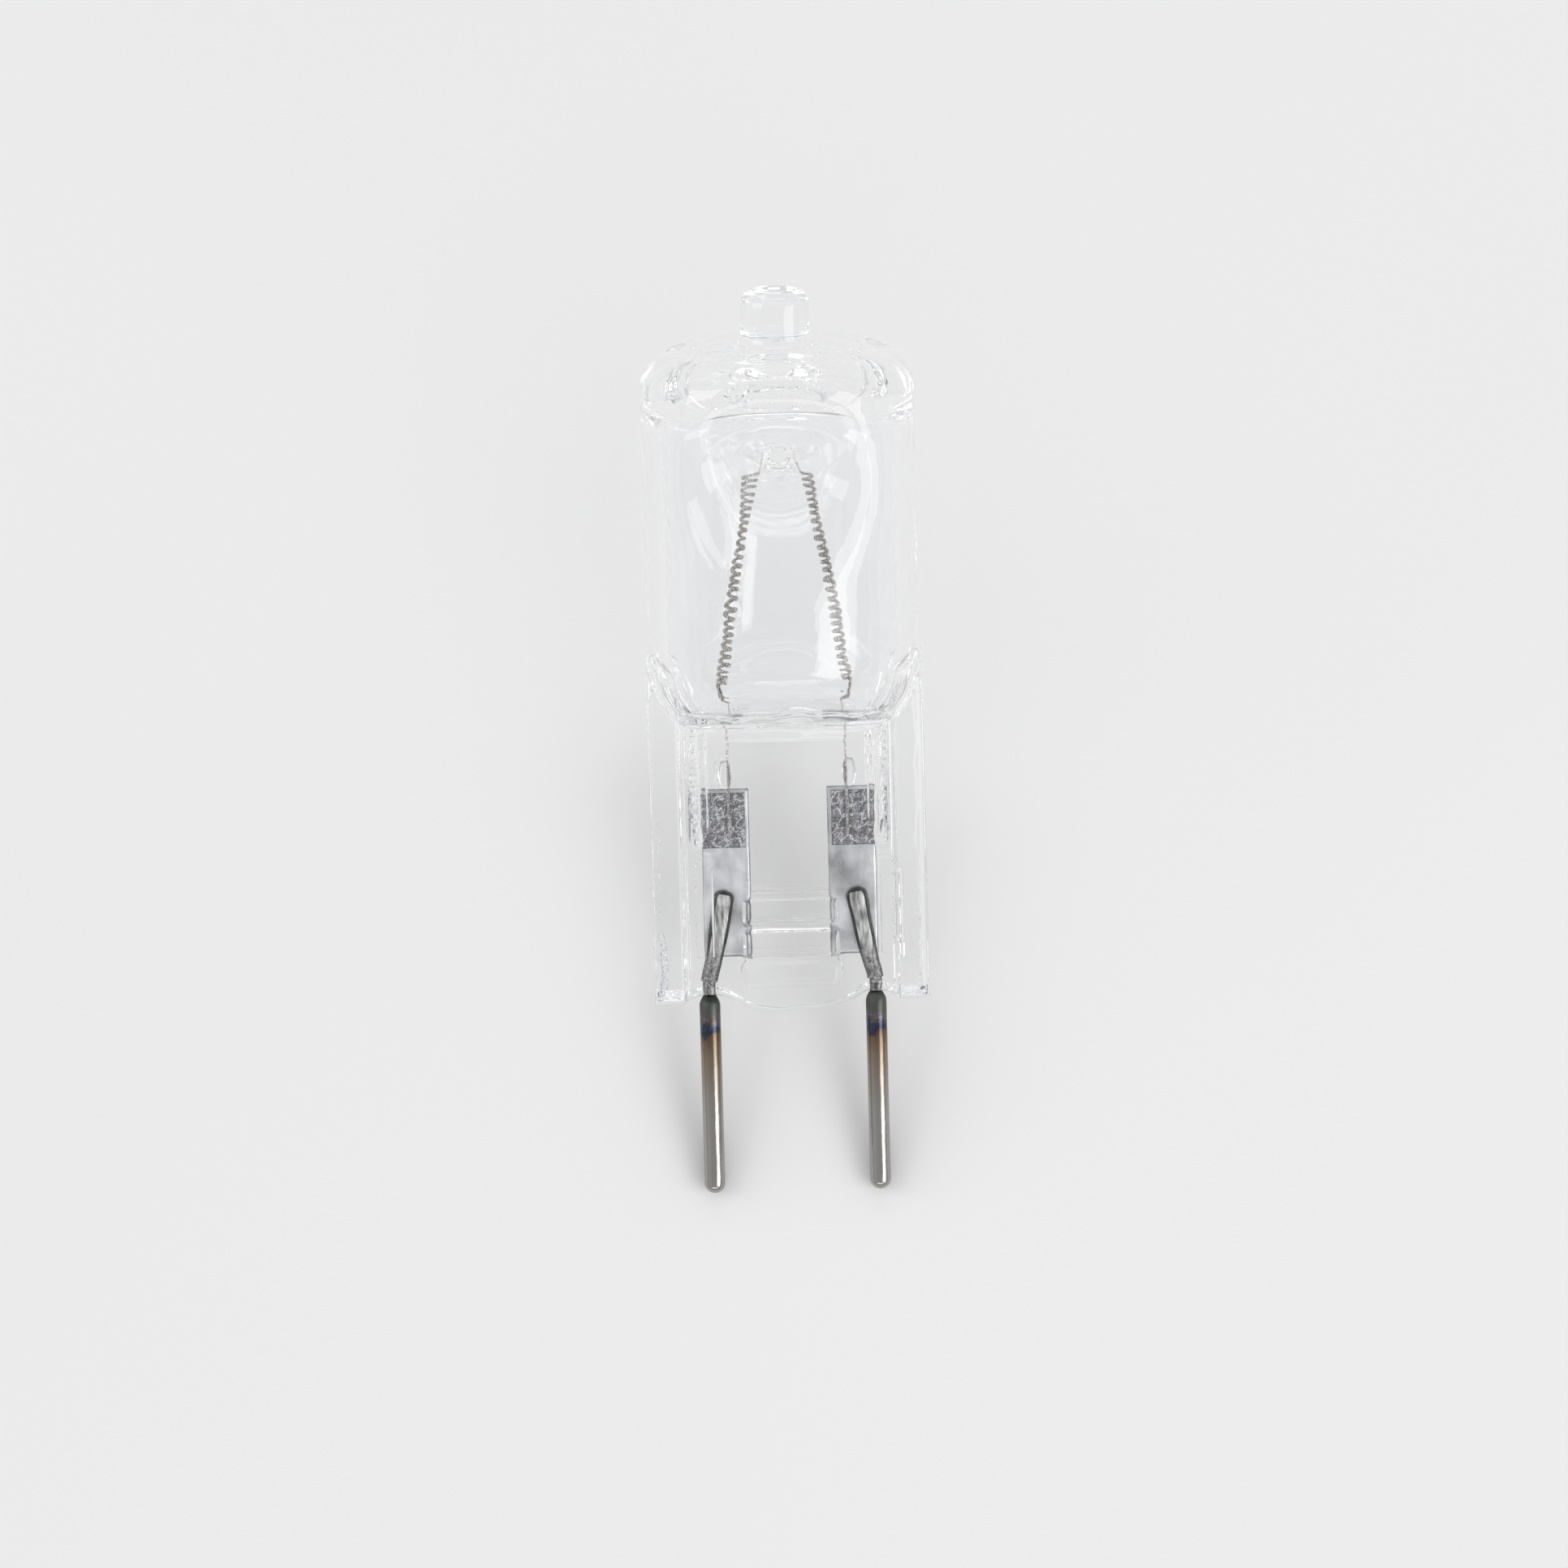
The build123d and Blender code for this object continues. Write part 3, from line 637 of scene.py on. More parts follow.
def hollow_skin(g, unevenness):
    """The inside of the glass: turned at the top, dimpled, and squeezed to a slit at the bottom.

    The grid is drawn together around the post, its faces inside the post are left out,
    and the front and back sheets meet in the post's outline.
    """
    post_angle = math.asin(g.post_half_width / g.bore)
    beside, across, along = 36, 13, 13
    side = blend(post_angle, math.pi / 2, np.linspace(0, 1, beside) ** 1.3)
    angle = np.concatenate((-side[::-1], np.linspace(-post_angle, post_angle, across)[1:-1], side))
    post = slice(beside - 1, beside - 1 + across)
    top = hollow_profile(g)[:-1]
    start = g.hollow_top - g.hollow_corner
    head, foot = g.post_height + g.post_half_height, g.post_height - g.post_half_height
    high = np.linspace(start, head, 9)
    middle = np.linspace(head, foot, along)[1:]
    low = blend(foot, g.neck_top, np.linspace(0, 1, 46)[1:] ** 1.4)
    closing = g.hollow_round * (1 - np.sin(np.linspace(0, math.pi / 2, 14)[1:]))
    neck = np.concatenate((np.linspace(g.neck_top, g.hollow_floor + g.hollow_round, 14)[1:],
                           g.hollow_floor + closing))
    level = np.concatenate((top[:, 1], high, middle, low, neck))[:, None]
    wide, deep, power = neck_sizes(g, level)
    wide, deep = wide - g.tube_wall, deep - g.tube_wall
    wide[:len(top)] = deep[:len(top)] = top[:, :1]
    x = wide * np.sin(angle)
    s = level + 0 * x
    dx, ds = x / g.post_half_width, (s - g.post_height) / g.post_half_height
    square = np.maximum(np.abs(dx), np.abs(ds))
    round_ = (np.abs(dx) ** 3 + np.abs(ds) ** 3) ** (1 / 3) + 1e-12
    pull = 1 + (1 - ease(square, 1, 3)) * (square / round_ - 1)
    s = np.where(level < start, g.post_height + (s - g.post_height) * pull, s)
    x = np.where(level < start, x * pull, x)
    depth = oblong_depth(np.sin(angle), 1, deep, power)
    outside = dimple_bell(g, x, s)
    waist = 1.5 * g.radius * dimple_share(g, x, s, g.post_half_width, g.post_half_height, g.dimple_wall)
    bell = np.maximum(lower(waist, outside - g.dimple_wall, np.minimum(0.6, waist + 1e-6)), 0)
    depth = lower(depth, bell, np.minimum(g.mouth_round, np.minimum(depth, bell) + 1e-6))
    fall = np.clip((level - g.hollow_floor) / g.hollow_round, 0, 1)
    depth = depth * (1 - (1 - fall) ** 2.5) ** 0.4
    wave = 0.12 * np.sin(1.1 * x + 0.6) + 0.05 * np.sin(3.1 * x)
    s = s + wave * (1 - ease(level, g.hollow_floor, g.hollow_floor + 1.2)) * np.cos(angle) ** 2
    turn = np.arctan2(x, depth)
    lumps = 0.012 * np.sin(5 * turn + 1) + 0.01 * np.sin(9 * turn + 2.2) + 0.01 * np.sin(14 * turn)
    ring = np.exp(-((wide - g.seal_diameter / 2) / 0.5) ** 2) * (level > start)
    s = s + lumps * ring
    calm = np.cos(angle) * np.minimum(depth, 1) * ease(start - level, -0.5, 2)
    front = depth + unevenness * ripple(x, s, 1.9) * calm
    back = depth + unevenness * ripple(x, s, 6.2) * calm
    first = len(top) + len(high) - 1
    rows = slice(first, first + len(middle) + 1)
    for sheet in (front, back):
        sheet[rows, post] = 0
        sheet[:, [0, -1]] = 0
        sheet[-1] = 0
    keep = np.ones((x.shape[0] - 1, x.shape[1] - 1), dtype=bool)
    keep[rows.start:rows.stop - 1, post.start:post.stop - 1] = False
    return facing_sheets(x, front, back, s, hollow=True, keep=keep)


def bubbles(centres, half_sizes, lean=0.0):
    """Small closed hollows: ellipsoids about the centres, longer along the lamp, leaned across it."""
    around = around_turn(BUBBLE_COLUMNS)
    along = np.linspace(0, math.pi, BUBBLE_ROWS)[:, None]
    ring = np.sin(along)
    shape = np.stack((ring * np.cos(around), ring * np.sin(around), np.cos(along) + 0 * around), axis=-1)
    shape[[0, -1], :, :2] = 0
    local = shape * np.asarray(half_sizes, dtype=float)[:, None, None]
    spots = np.asarray(centres, dtype=float)[:, None, None] + local
    points = place(spots[..., 0] + lean * local[..., 2], spots[..., 1], spots[..., 2])
    starts = BUBBLE_ROWS * BUBBLE_COLUMNS * np.arange(len(spots))[:, None, None]
    return points, (grid_faces(BUBBLE_ROWS, BUBBLE_COLUMNS, wrap=True) + starts).reshape(-1, 4)


def scatter(count, first, second):
    """Counting numbers and two rows of uneven shares between 0 and 1, from the digits of a steep sine."""
    index, steep = np.arange(count), 43758.5453
    return index, np.sin(12.9898 * index + first) * steep % 1, np.sin(78.233 * index + second) * steep % 1


def bubble_line(x, front, bottom, top, count, size, seed):
    """A rough line in the glass: a row of small hollows along the lamp whose size and place vary."""
    index, vary, more = scatter(count, seed, 2 * seed)
    s = blend(bottom, top, (index + 0.8 * vary) / count)
    centres = np.stack((x + 1.2 * size * (more - 0.5), front - size * vary, s), axis=1)
    wide = size * (0.35 + 0.65 * more)
    return bubbles(centres, np.stack((wide, wide, wide * (1 + 2.2 * vary)), axis=1))


def bubble_ring(radius, level, count, size):
    """A rough ring in the closed end: small hollows around the axis whose size and place vary."""
    index, vary, more = scatter(count, 0, 1)
    turn = 2 * math.pi * (index + 0.7 * vary) / count
    reach = radius + 2 * size * (more - 0.5)
    centres = np.stack((reach * np.sin(turn), reach * np.cos(turn), level + size * vary), axis=1)
    wide = size * (0.4 + 0.8 * more)
    return bubbles(centres, np.stack((1.6 * wide, wide, 0.6 * wide), axis=1))


def channel(x, bottom, top, radius):
    """The narrow hollow around a tail: a tube with round ends, its faces turned to the hollow."""
    rows, columns = 15, 16
    along, around = np.linspace(0, math.pi, rows)[:, None], around_turn(columns)
    reach = np.sin(along) ** 0.35
    s = blend(bottom, top, (1 - np.cos(along)) / 2) + 0 * around
    wobble = 1 + 0.12 * np.sin(3 * along + x)
    points = place(x + radius * reach * wobble * np.cos(around), radius * reach * np.sin(around), s)
    points[0], points[-1] = points[0, 0], points[-1, 0]
    return points, grid_faces(rows, columns, wrap=True)[:, ::-1]


def tube_along(path, reference, radius, sides):
    """A round wire: a ring carried square along a path, its first corner toward a reference direction."""
    tangent = unit(np.gradient(path, axis=0))
    out = unit(reference - tangent * np.sum(reference * tangent, axis=1, keepdims=True))
    beside = np.cross(tangent, out)
    turn = around_turn(sides)
    radius = np.broadcast_to(radius, len(path))[:, None, None]
    ring = np.cos(turn)[:, None] * out[:, None] + np.sin(turn)[:, None] * beside[:, None]
    ends = np.repeat(path[[0, -1], None], sides, axis=1)
    rings = np.concatenate((ends[:1], path[:, None] + radius * ring, ends[1:]))
    points = place(rings[..., 0], rings[..., 1], rings[..., 2])
    return points, grid_faces(len(path) + 2, sides, wrap=True)


def coil_limb(f, side):
    """One limb as a coiled coil: a fine coil of wire whose own path is a wider coil up the limb.

    Wide coil: the limb's line plus a radius that turns once a pitch. Fine coil: that path plus a smaller
    radius that turns about the path's own direction, in the frame of its outward and sideways directions.
    """
    foot = np.array((side * f.bottom_offset, 0, f.coil_bottom))
    head = np.array((side * f.top_offset, 0, f.coil_top))
    span = np.linalg.norm(head - foot)
    up = (head - foot) / span
    front = np.array((0.0, 1.0, 0.0))
    inward = np.cross(front, up) * -side
    turns = round(span / f.coil_pitch)
    radius = (f.coil_diameter - f.strand_diameter) / 2
    strand_length = turns * math.hypot(2 * math.pi * radius, f.coil_pitch)
    fine_turns = int(strand_length / f.strand_pitch)
    t = np.linspace(0, 1, fine_turns * FINE_STEPS + 1)
    loose = ease(t, 0.76, 0.92) * (0.85 if side < 0 else 0.2)
    wide = radius * (1 + 0.06 * np.sin(19 * t + side) + loose)
    climb = t + 0.006 * np.sin(23 * t + 2 * side) * np.sin(math.pi * t)
    phase = 2 * math.pi * turns * t
    out = np.cos(phase)[:, None] * inward + np.sin(phase)[:, None] * front
    sway = 0.05 * np.sin(3 * math.pi * t) * np.sin(math.pi * t)
    path = foot + climb[:, None] * span * up + sway[:, None] * inward + wide[:, None] * out
    tangent = unit(np.gradient(path, axis=0))
    beside = unit(np.cross(tangent, out))
    fine = 2 * math.pi * fine_turns * t
    arm = np.cos(fine)[:, None] * np.cross(beside, tangent) + np.sin(fine)[:, None] * beside
    wire = path + (f.strand_diameter - f.wire_diameter) / 2 * arm
    return tube_along(wire, arm, f.wire_diameter / 2, WIRE_SIDES), path[0], path[-1]


def tail_offset(f):
    """How far a tail hangs from the axis: under the inner side of its limb's lower end."""
    return f.bottom_offset - (f.coil_diameter - f.strand_diameter) / 2


def fine_tail(f, x):
    """The end of a tail: the fine coil wound on a straight line along the lamp."""
    turns = int((f.tail_top - f.tail_bottom) / f.strand_pitch)
    t = np.linspace(0, 1, turns * FINE_STEPS + 1)
    turn = 2 * math.pi * turns * t
    arm = np.stack((np.cos(turn), np.sin(turn), 0 * t), axis=1)
    line = np.stack((x + 0 * t, 0 * t, blend(f.tail_bottom, f.tail_top, t)), axis=1)
    wire = line + (f.strand_diameter - f.wire_diameter) / 2 * arm
    return tube_along(wire, arm, f.wire_diameter / 2, WIRE_SIDES)


def smooth_path(corners, count):
    """A smooth line through a few corners: cubic pieces whose slope at a corner joins its neighbours."""
    corners = np.array(corners, dtype=float)
    reach = np.linalg.norm(np.diff(corners, axis=0), axis=1)
    knot = np.concatenate(((0,), np.cumsum(reach)))
    slope = np.gradient(corners, knot, axis=0)
    t = np.linspace(0, knot[-1], count)
    k = np.clip(np.searchsorted(knot, t, side="right") - 1, 0, len(corners) - 2)
    h = (knot[k + 1] - knot[k])[:, None]
    u = ((t - knot[k])[:, None]) / h
    return ((1 + 2 * u) * (1 - u) ** 2 * corners[k] + u * (1 - u) ** 2 * h * slope[k]
            + u ** 2 * (3 - 2 * u) * corners[k + 1] + u ** 2 * (u - 1) * h * slope[k + 1])


def plain_wire(path, diameter, sides=10):
    """A plain round wire along a path that lies near the lamp's middle plane."""
    reference = np.tile(np.array((0.0, 1.0, 0.0)), (len(path), 1))
    return tube_along(path, reference, diameter / 2, sides)


def plate_grid(columns, rows):
    """Even shares across a plate, from -0.5 to 0.5, and along it, from 0 to 1."""
    return np.meshgrid(np.linspace(-0.5, 0.5, columns), np.linspace(0, 1, rows))


def thin_plate(x, s, middle, thickness):
    """A thin uneven plate: front and back lie half a thickness off its middle and meet at the rim."""
    half = np.zeros(x.shape)
    half[1:-1, 1:-1] = thickness / 2
    return facing_sheets(x, middle + half, half - middle, s)


def turned(profile, x, sides=40):
    """A solid turned about a line along the lamp: a profile of (radius, height) carried round it."""
    around = around_turn(sides)
    radius, height = profile[:, :1], profile[:, 1:]
    points = place(x + radius * np.cos(around), radius * np.sin(around), height + 0 * around)
    return points, grid_faces(len(profile), sides, wrap=True)


def lead_form(m, side, gap=0.0, start=0.0):
    """A lead wire: an oval carried along a bent line, round at the pin and flattened toward its blunt top.

    With a gap it is the narrow hollow around the lead, which begins further up. The rim is 1 on the outline
    that is seen from the front, where painted shade darkens the lead, and 0 along its middle.
    """
    foot = m.pin_pitch / 2
    back = -m.foil_back + m.lead_flat_thickness / 2
    count, sides, blunt = 80, 32, 0.91
    line = smooth_path(((side * foot, 0, 0), (side * foot, 0, m.lead_straight * 0.9),
                        (side * (foot - 0.25), back * 0.8, m.lead_straight + 1.0),
                        (side * m.lead_top_offset, back, m.lead_top + m.lead_flat_width / 2 + gap)), count)
    line = line[int(start * count):]
    t = np.linspace(start, 1, len(line))[:, None]
    turn = around_turn(sides)
    flat = ease(t, 0.14, 0.9)
    close = (1 - np.clip((t - blunt) / (1 - blunt), 0, 1) ** 2.6) ** 0.5
    close[0] = 0
    uneven = 1 + 0.03 * np.sin(14 * t + side)
    wide = (blend(m.lead_diameter, m.lead_flat_width, flat) / 2 * uneven + gap) * close
    deep = (blend(m.lead_diameter, m.lead_flat_thickness, flat) / 2 + 0.5 * gap) * close
    tangent = np.gradient(line, axis=0)
    lean = np.arctan2(tangent[:, 0], tangent[:, 2])[:, None]
    across = wide * np.sign(np.cos(turn)) * np.abs(np.cos(turn)) ** 0.7
    front = deep * np.sign(np.sin(turn)) * np.abs(np.sin(turn)) ** 0.7
    aside, drop = across * np.cos(lean), across * np.sin(lean)
    points = place(line[:, :1] + aside, line[:, 1:2] + front, line[:, 2:] - drop)
    faces = grid_faces(len(line), sides, wrap=True)
    rim = np.maximum(np.abs(np.cos(turn)) + 0 * t, ease(t, 0.955, 0.985))
    return points.reshape(-1, 3), faces[:, ::-1] if gap else faces, rim


def add(tree, kind, inputs=None, **settings):
    """A shader node with its settings, and its inputs as values or links."""
    made = tree.nodes.new("ShaderNode" + kind)
    for name, value in settings.items():
        setattr(made, name, value)
    for name, value in (inputs or {}).items():
        if isinstance(value, bpy.types.NodeSocket):
            tree.links.new(value, made.inputs[name])
        else:
            made.inputs[name].default_value = value
    return made


def ramp(tree, factor, stops):
    """A colour ramp from (position, colour) stops."""
    made = add(tree, "ValToRGB", {"Fac": factor})
    elements = made.color_ramp.elements
    while len(elements) < len(stops):
        elements.new(0.5)
    for element, (position, value) in zip(elements, stops):
        element.position = position
        element.color = (*value, 1)
    return made.outputs["Color"]


def greys(tree, factor, *stops):
    """A ramp of greys from (position, value) stops."""
    return ramp(tree, factor, [(position, (value,) * 3) for position, value in stops])


def shades(tree, factor, look, *stops):
    """A ramp of shades of a colour from (position, multiple) stops, no brighter than 1."""
    stops = [(position, [min(1.0, part * times) for part in look]) for position, times in stops]
    return ramp(tree, factor, stops)


def noise(tree, vector, scale, detail):
    """Soft noise between 0 and 1."""
    return add(tree, "TexNoise", {"Vector": vector, "Scale": scale, "Detail": detail}).outputs["Fac"]


def bumped(tree, height, strength, distance):
    """The normal of a surface that a height between 0 and 1 raises by up to a distance in metres."""
    return add(tree, "Bump", {"Height": height, "Strength": strength, "Distance": distance}).outputs["Normal"]


def mixed(tree, factor, first, second):
    """Two colours mixed by a factor."""
    return add(tree, "MixRGB", {"Fac": factor, "Color1": first, "Color2": second}).outputs[0]


def product(tree, first, second):
    """Two values times each other."""
    return add(tree, "Math", {0: first, 1: second}, operation="MULTIPLY").outputs[0]


def new_material(name):
    """An empty material, its tree and its object coordinates in millimetres."""
    material = bpy.data.materials.new(name)
    material.use_nodes = True
    tree = material.node_tree
    tree.nodes.clear()
    coordinates = add(tree, "TexCoord")
    to_mm = (1000, 1000, 1000)
    scaled = add(tree, "VectorMath", {0: coordinates.outputs["Object"], 1: to_mm}, operation="MULTIPLY")
    return material, tree, scaled.outputs[0]


def finished(material, shader):
    """The material with a shader linked to its output."""
    add(material.node_tree, "OutputMaterial", {"Surface": shader})
    return material


def mottle_group():
    """Shared wear of bare metal: a broad mottle, a fine grain and draw lines along the lamp."""
    name = "Mottled metal"
    if name in bpy.data.node_groups:
        return bpy.data.node_groups[name]
    group = bpy.data.node_groups.new(name, "ShaderNodeTree")
    face = group.interface
    face.new_socket("Vector", in_out="INPUT", socket_type="NodeSocketVector")
    for socket, value in (("Mottle Scale", 2.0), ("Grain Scale", 14.0), ("Line Scale", 9.0)):
        face.new_socket(socket, in_out="INPUT", socket_type="NodeSocketFloat").default_value = value
    for socket in ("Mottle", "Grain", "Lines"):
        face.new_socket(socket, in_out="OUTPUT", socket_type="NodeSocketFloat")
    inside = group.nodes.new("NodeGroupInput")
    outside = group.nodes.new("NodeGroupOutput")
    vector = inside.outputs["Vector"]
    tilt = math.asin(ALONG[2])
    drawn = add(group, "Mapping", {"Vector": vector, "Rotation": (-tilt, 0, 0), "Scale": (1, 0.06, 1)})
    wear = (("Mottle", vector, "Mottle Scale", 3.0), ("Grain", vector, "Grain Scale", 2.0),
            ("Lines", drawn.outputs[0], "Line Scale", 4.0))
    for target, where, scale, detail in wear:
        group.links.new(noise(group, where, inside.outputs[scale], detail), outside.inputs[target])
    return group


def mottled(tree, vector, mottle, grain, lines):
    """The shared wear placed in a material, with its own scales."""
    made = tree.nodes.new("ShaderNodeGroup")
    made.node_tree = mottle_group()
    tree.links.new(vector, made.inputs["Vector"])
    made.inputs["Mottle Scale"].default_value = mottle
    made.inputs["Grain Scale"].default_value = grain
    made.inputs["Line Scale"].default_value = lines
    return made.outputs


def quartz_material():
    """Clear fire-polished quartz: sharp refraction, with faint smears and draw waves on its skin."""
    material, tree, vector = new_material("quartz_clear")
    rough = greys(tree, noise(tree, vector, 0.35, 2.0), (0.55, 0.0), (0.8, 0.03))
    waves = bumped(tree, noise(tree, vector, 0.9, 1.0), 0.06, 0.0003)
    glass = add(tree, "BsdfPrincipled", {
        "Base Color": (0.99, 0.995, 1.0, 1), "Metallic": 0.0, "Roughness": rough, "IOR": 1.458,
        "Transmission Weight": 1.0, "Normal": waves})
    edge = add(tree, "LayerWeight", {"Blend": 0.35})
    shade = greys(tree, edge.outputs["Facing"], (0.5, 1.0), (1.0, 0.93))
    clear = add(tree, "BsdfTransparent", {"Color": shade})
    path = add(tree, "LightPath")
    lit = add(tree, "MixShader", {0: path.outputs["Is Shadow Ray"], 1: glass.outputs[0], 2: clear.outputs[0]})
    mix = add(tree, "MixShader", {0: path.outputs["Is Diffuse Ray"], 1: lit.outputs[0], 2: clear.outputs[0]})
    return finished(material, mix.outputs[0])


def metal(tree, base, rough, normal=None, metallic=1.0):
    """A plain surface shader, metal unless told otherwise."""
    values = {"Base Color": base, "Metallic": metallic, "Roughness": rough}
    if normal is not None:
        values["Normal"] = normal
    return add(tree, "BsdfPrincipled", values).outputs[0]


def tungsten_material(look):
    """Drawn tungsten: dark grey with a brown cast and brighter spots that come at random."""
    material, tree, vector = new_material("tungsten_wire")
    marks = mottled(tree, vector, 1.4, 11.0, 6.0)
    base = shades(tree, marks["Grain"], look, (0.3, 0.55), (0.5, 1.0), (0.75, 1.9))
    rough = greys(tree, marks["Mottle"], (0.3, 0.38), (0.7, 0.6))
    return finished(material, metal(tree, base, rough))


def foil_material(look):
    """Smooth molybdenum foil: pale, slightly clouded, with fine rolling lines and dull stains."""
    material, tree, vector = new_material("foil_pale")
    marks = mottled(tree, vector, 0.7, 6.0, 3.0)
    base = shades(tree, marks["Mottle"], look, (0.3, 0.62), (0.52, 1.0), (0.7, 1.25))
    rough = greys(tree, marks["Lines"], (0.3, 0.26), (0.7, 0.42))
    return finished(material, metal(tree, base, rough, bumped(tree, marks["Lines"], 0.25, 0.00002)))


def tab_material(look):
    """Dark crinkled weld tab: a net of sharp creases, with painted highlights that brighten the metal along
    them.
    """
    material, tree, vector = new_material("weld_tab_dark")
    marks = mottled(tree, vector, 2.0, 7.0, 3.0)
    bent = add(tree, "VectorMath", {0: vector, 1: marks["Grain"]}, operation="ADD")
    cells = add(tree, "TexVoronoi", {"Vector": bent.outputs[0], "Scale": 2.6}, feature="DISTANCE_TO_EDGE")
    crease = cells.outputs["Distance"]
    # Painted highlight: the colour rises to several times the tab's own along the creases, where light would
    # catch the crinkles.
    painted_crest_highlight = shades(tree, crease, look, (0.0, 3.4), (0.035, 2.6), (0.07, 0.9), (0.3, 0.75))
    rough = greys(tree, marks["Mottle"], (0.3, 0.3), (0.7, 0.5))
    return finished(material, metal(tree, painted_crest_highlight, rough, bumped(tree, crease, 0.8, 0.00006)))


def height_over_pins(tree, vector, wander, span):
    """How far a place lies from the top of the pins along the lamp, as a share of a span of either sign."""
    rise = add(tree, "VectorMath", {0: vector, 1: tuple(ALONG)}, operation="DOT_PRODUCT")
    top = float(pin_top() @ ALONG) / MM
    shift = add(tree, "MapRange", {"Value": wander, "To Min": -0.5, "To Max": 0.5})
    moved = add(tree, "Math", {0: rise.outputs["Value"], 1: shift.outputs[0]}, operation="ADD").outputs[0]
    return add(tree, "MapRange", {"Value": moved, "From Min": top, "From Max": top + span}).outputs[0]


def lead_material(look):
    """Lead wire: silvery with long streaks where it is flattened, dark and granular toward the pin, with
    painted shade along its flattened outline.
    """
    material, tree, vector = new_material("lead_mottled")
    marks = mottled(tree, vector, 1.6, 9.0, 7.0)
    silver = shades(tree, marks["Lines"], look, (0.34, 0.35), (0.5, 0.9), (0.64, 1.5))
    dull = shades(tree, marks["Grain"], look, (0.34, 0.16), (0.52, 0.5), (0.68, 1.0))
    flat = greys(tree, height_over_pins(tree, vector, marks["Mottle"], 5.0), (0.3, 0.0), (0.55, 1.0))
    outline = add(tree, "Attribute", attribute_name="rim").outputs["Fac"]
    # Painted shade: where the lead is flattened, its outline as seen from the front is taken nearly to black,
    # standing in for the dark gap between lead and glass.
    painted_gap_shade = product(tree, greys(tree, outline, (0.70, 0.0), (0.80, 1.0)), flat)
    base = mixed(tree, painted_gap_shade, mixed(tree, flat, dull, silver), (0.012, 0.012, 0.012, 1))
    rough = greys(tree, marks["Grain"], (0.3, 0.28), (0.7, 0.5))
    return finished(material, metal(tree, base, rough, bumped(tree, marks["Mottle"], 0.5, 0.00005)))


def pin_material(look):
    """Contact pin: bright drawn metal, tinted by heat toward the glass: grey, brown, blue and straw."""
    material, tree, vector = new_material("pin_bright")
    marks = mottled(tree, vector, 1.1, 8.0, 4.0)
    part = height_over_pins(tree, vector, marks["Mottle"], -10.0)
    heat = ramp(tree, part, (
        (0.0, (0.05, 0.055, 0.05)), (0.02, (0.10, 0.11, 0.10)), (0.10, (0.11, 0.11, 0.10)),
        (0.125, (0.17, 0.11, 0.08)), (0.15, (0.055, 0.065, 0.10)), (0.185, (0.05, 0.053, 0.075)),
        (0.205, (0.17, 0.12, 0.08)), (0.3, (0.26, 0.21, 0.16)), (0.45, (0.32, 0.29, 0.26)), (0.6, look)))
    spots = greys(tree, marks["Grain"], (0.52, 0.0), (0.6, 1.0))
    band = greys(tree, part, (0.08, 0.0), (0.12, 0.8), (0.15, 0.5), (0.19, 0.0))
    base = mixed(tree, product(tree, spots, band), heat, (0.14, 0.19, 0.32, 1))
    rough = greys(tree, part, (0.0, 0.55), (0.09, 0.4), (0.16, 0.18), (1.0, 0.13))
    return finished(material, metal(tree, base, rough, bumped(tree, marks["Lines"], 0.35, 0.00003)))


def floor_material(look):
    """Plain pale matt floor, very slightly clouded."""
    material, tree, vector = new_material("floor_pale")
    base = shades(tree, noise(tree, vector, 0.02, 2.0), look, (0.3, 0.985), (0.7, 1.0))
    return finished(material, metal(tree, base, 0.85, metallic=0.0))


class LAMP_OT_glass(bpy.types.Operator):
    """Build the quartz envelope with its hollow, post, pinch and pressed pattern"""
    bl_idname = "lamp.build_glass"
    bl_label = "Glass envelope"

    def execute(self, context):
        scene = context.scene
        g = glass_sizes(scene.lamp_glass)
        f = lengths(scene.lamp_filament)
        m = lengths(scene.lamp_metal)
        unevenness = scene.lamp_look.glass_ripple
        parts = [outer_skin(g, unevenness), hollow_skin(g, unevenness)]
        foil_top = m.foil_bottom + m.foil_length
        for side in SIDES.values():
            tail = side * tail_offset(f)
            bottom, top = foil_top + 0.02, f.tail_top + f.channel_rise
            parts.append(channel(tail + side * f.channel_shift, bottom, top, f.channel_diameter / 2))
            line = bubble_line(tail, 0.45, f.tail_bottom, foil_top, count=9, size=0.09, seed=5.0 + side)
            parts.append(line)
            parts.append(lead_form(m, side, gap=m.lead_gap, start=0.14)[:2])
        parts.append(bubble_ring(g.seal_diameter / 2, g.hollow_top + 0.3, count=46, size=0.09))
        tip = TIP_BUBBLES + (0, 0, g.end_face + g.tip_height, 0, 0, 0)
        parts.append(bubbles(tip[:, :3], tip[:, 3:], lean=-0.5))
        parts.append(bubbles(WEB_BUBBLES[:, :3], WEB_BUBBLES[:, 3:]))
        for x, *line in BUBBLE_LINES:
            parts.append(bubble_line(x, *line, seed=3 * x))
        make_piece("envelope", *gather(parts), quartz_material(), "glass_envelope", "quartz")
        return {"FINISHED"}


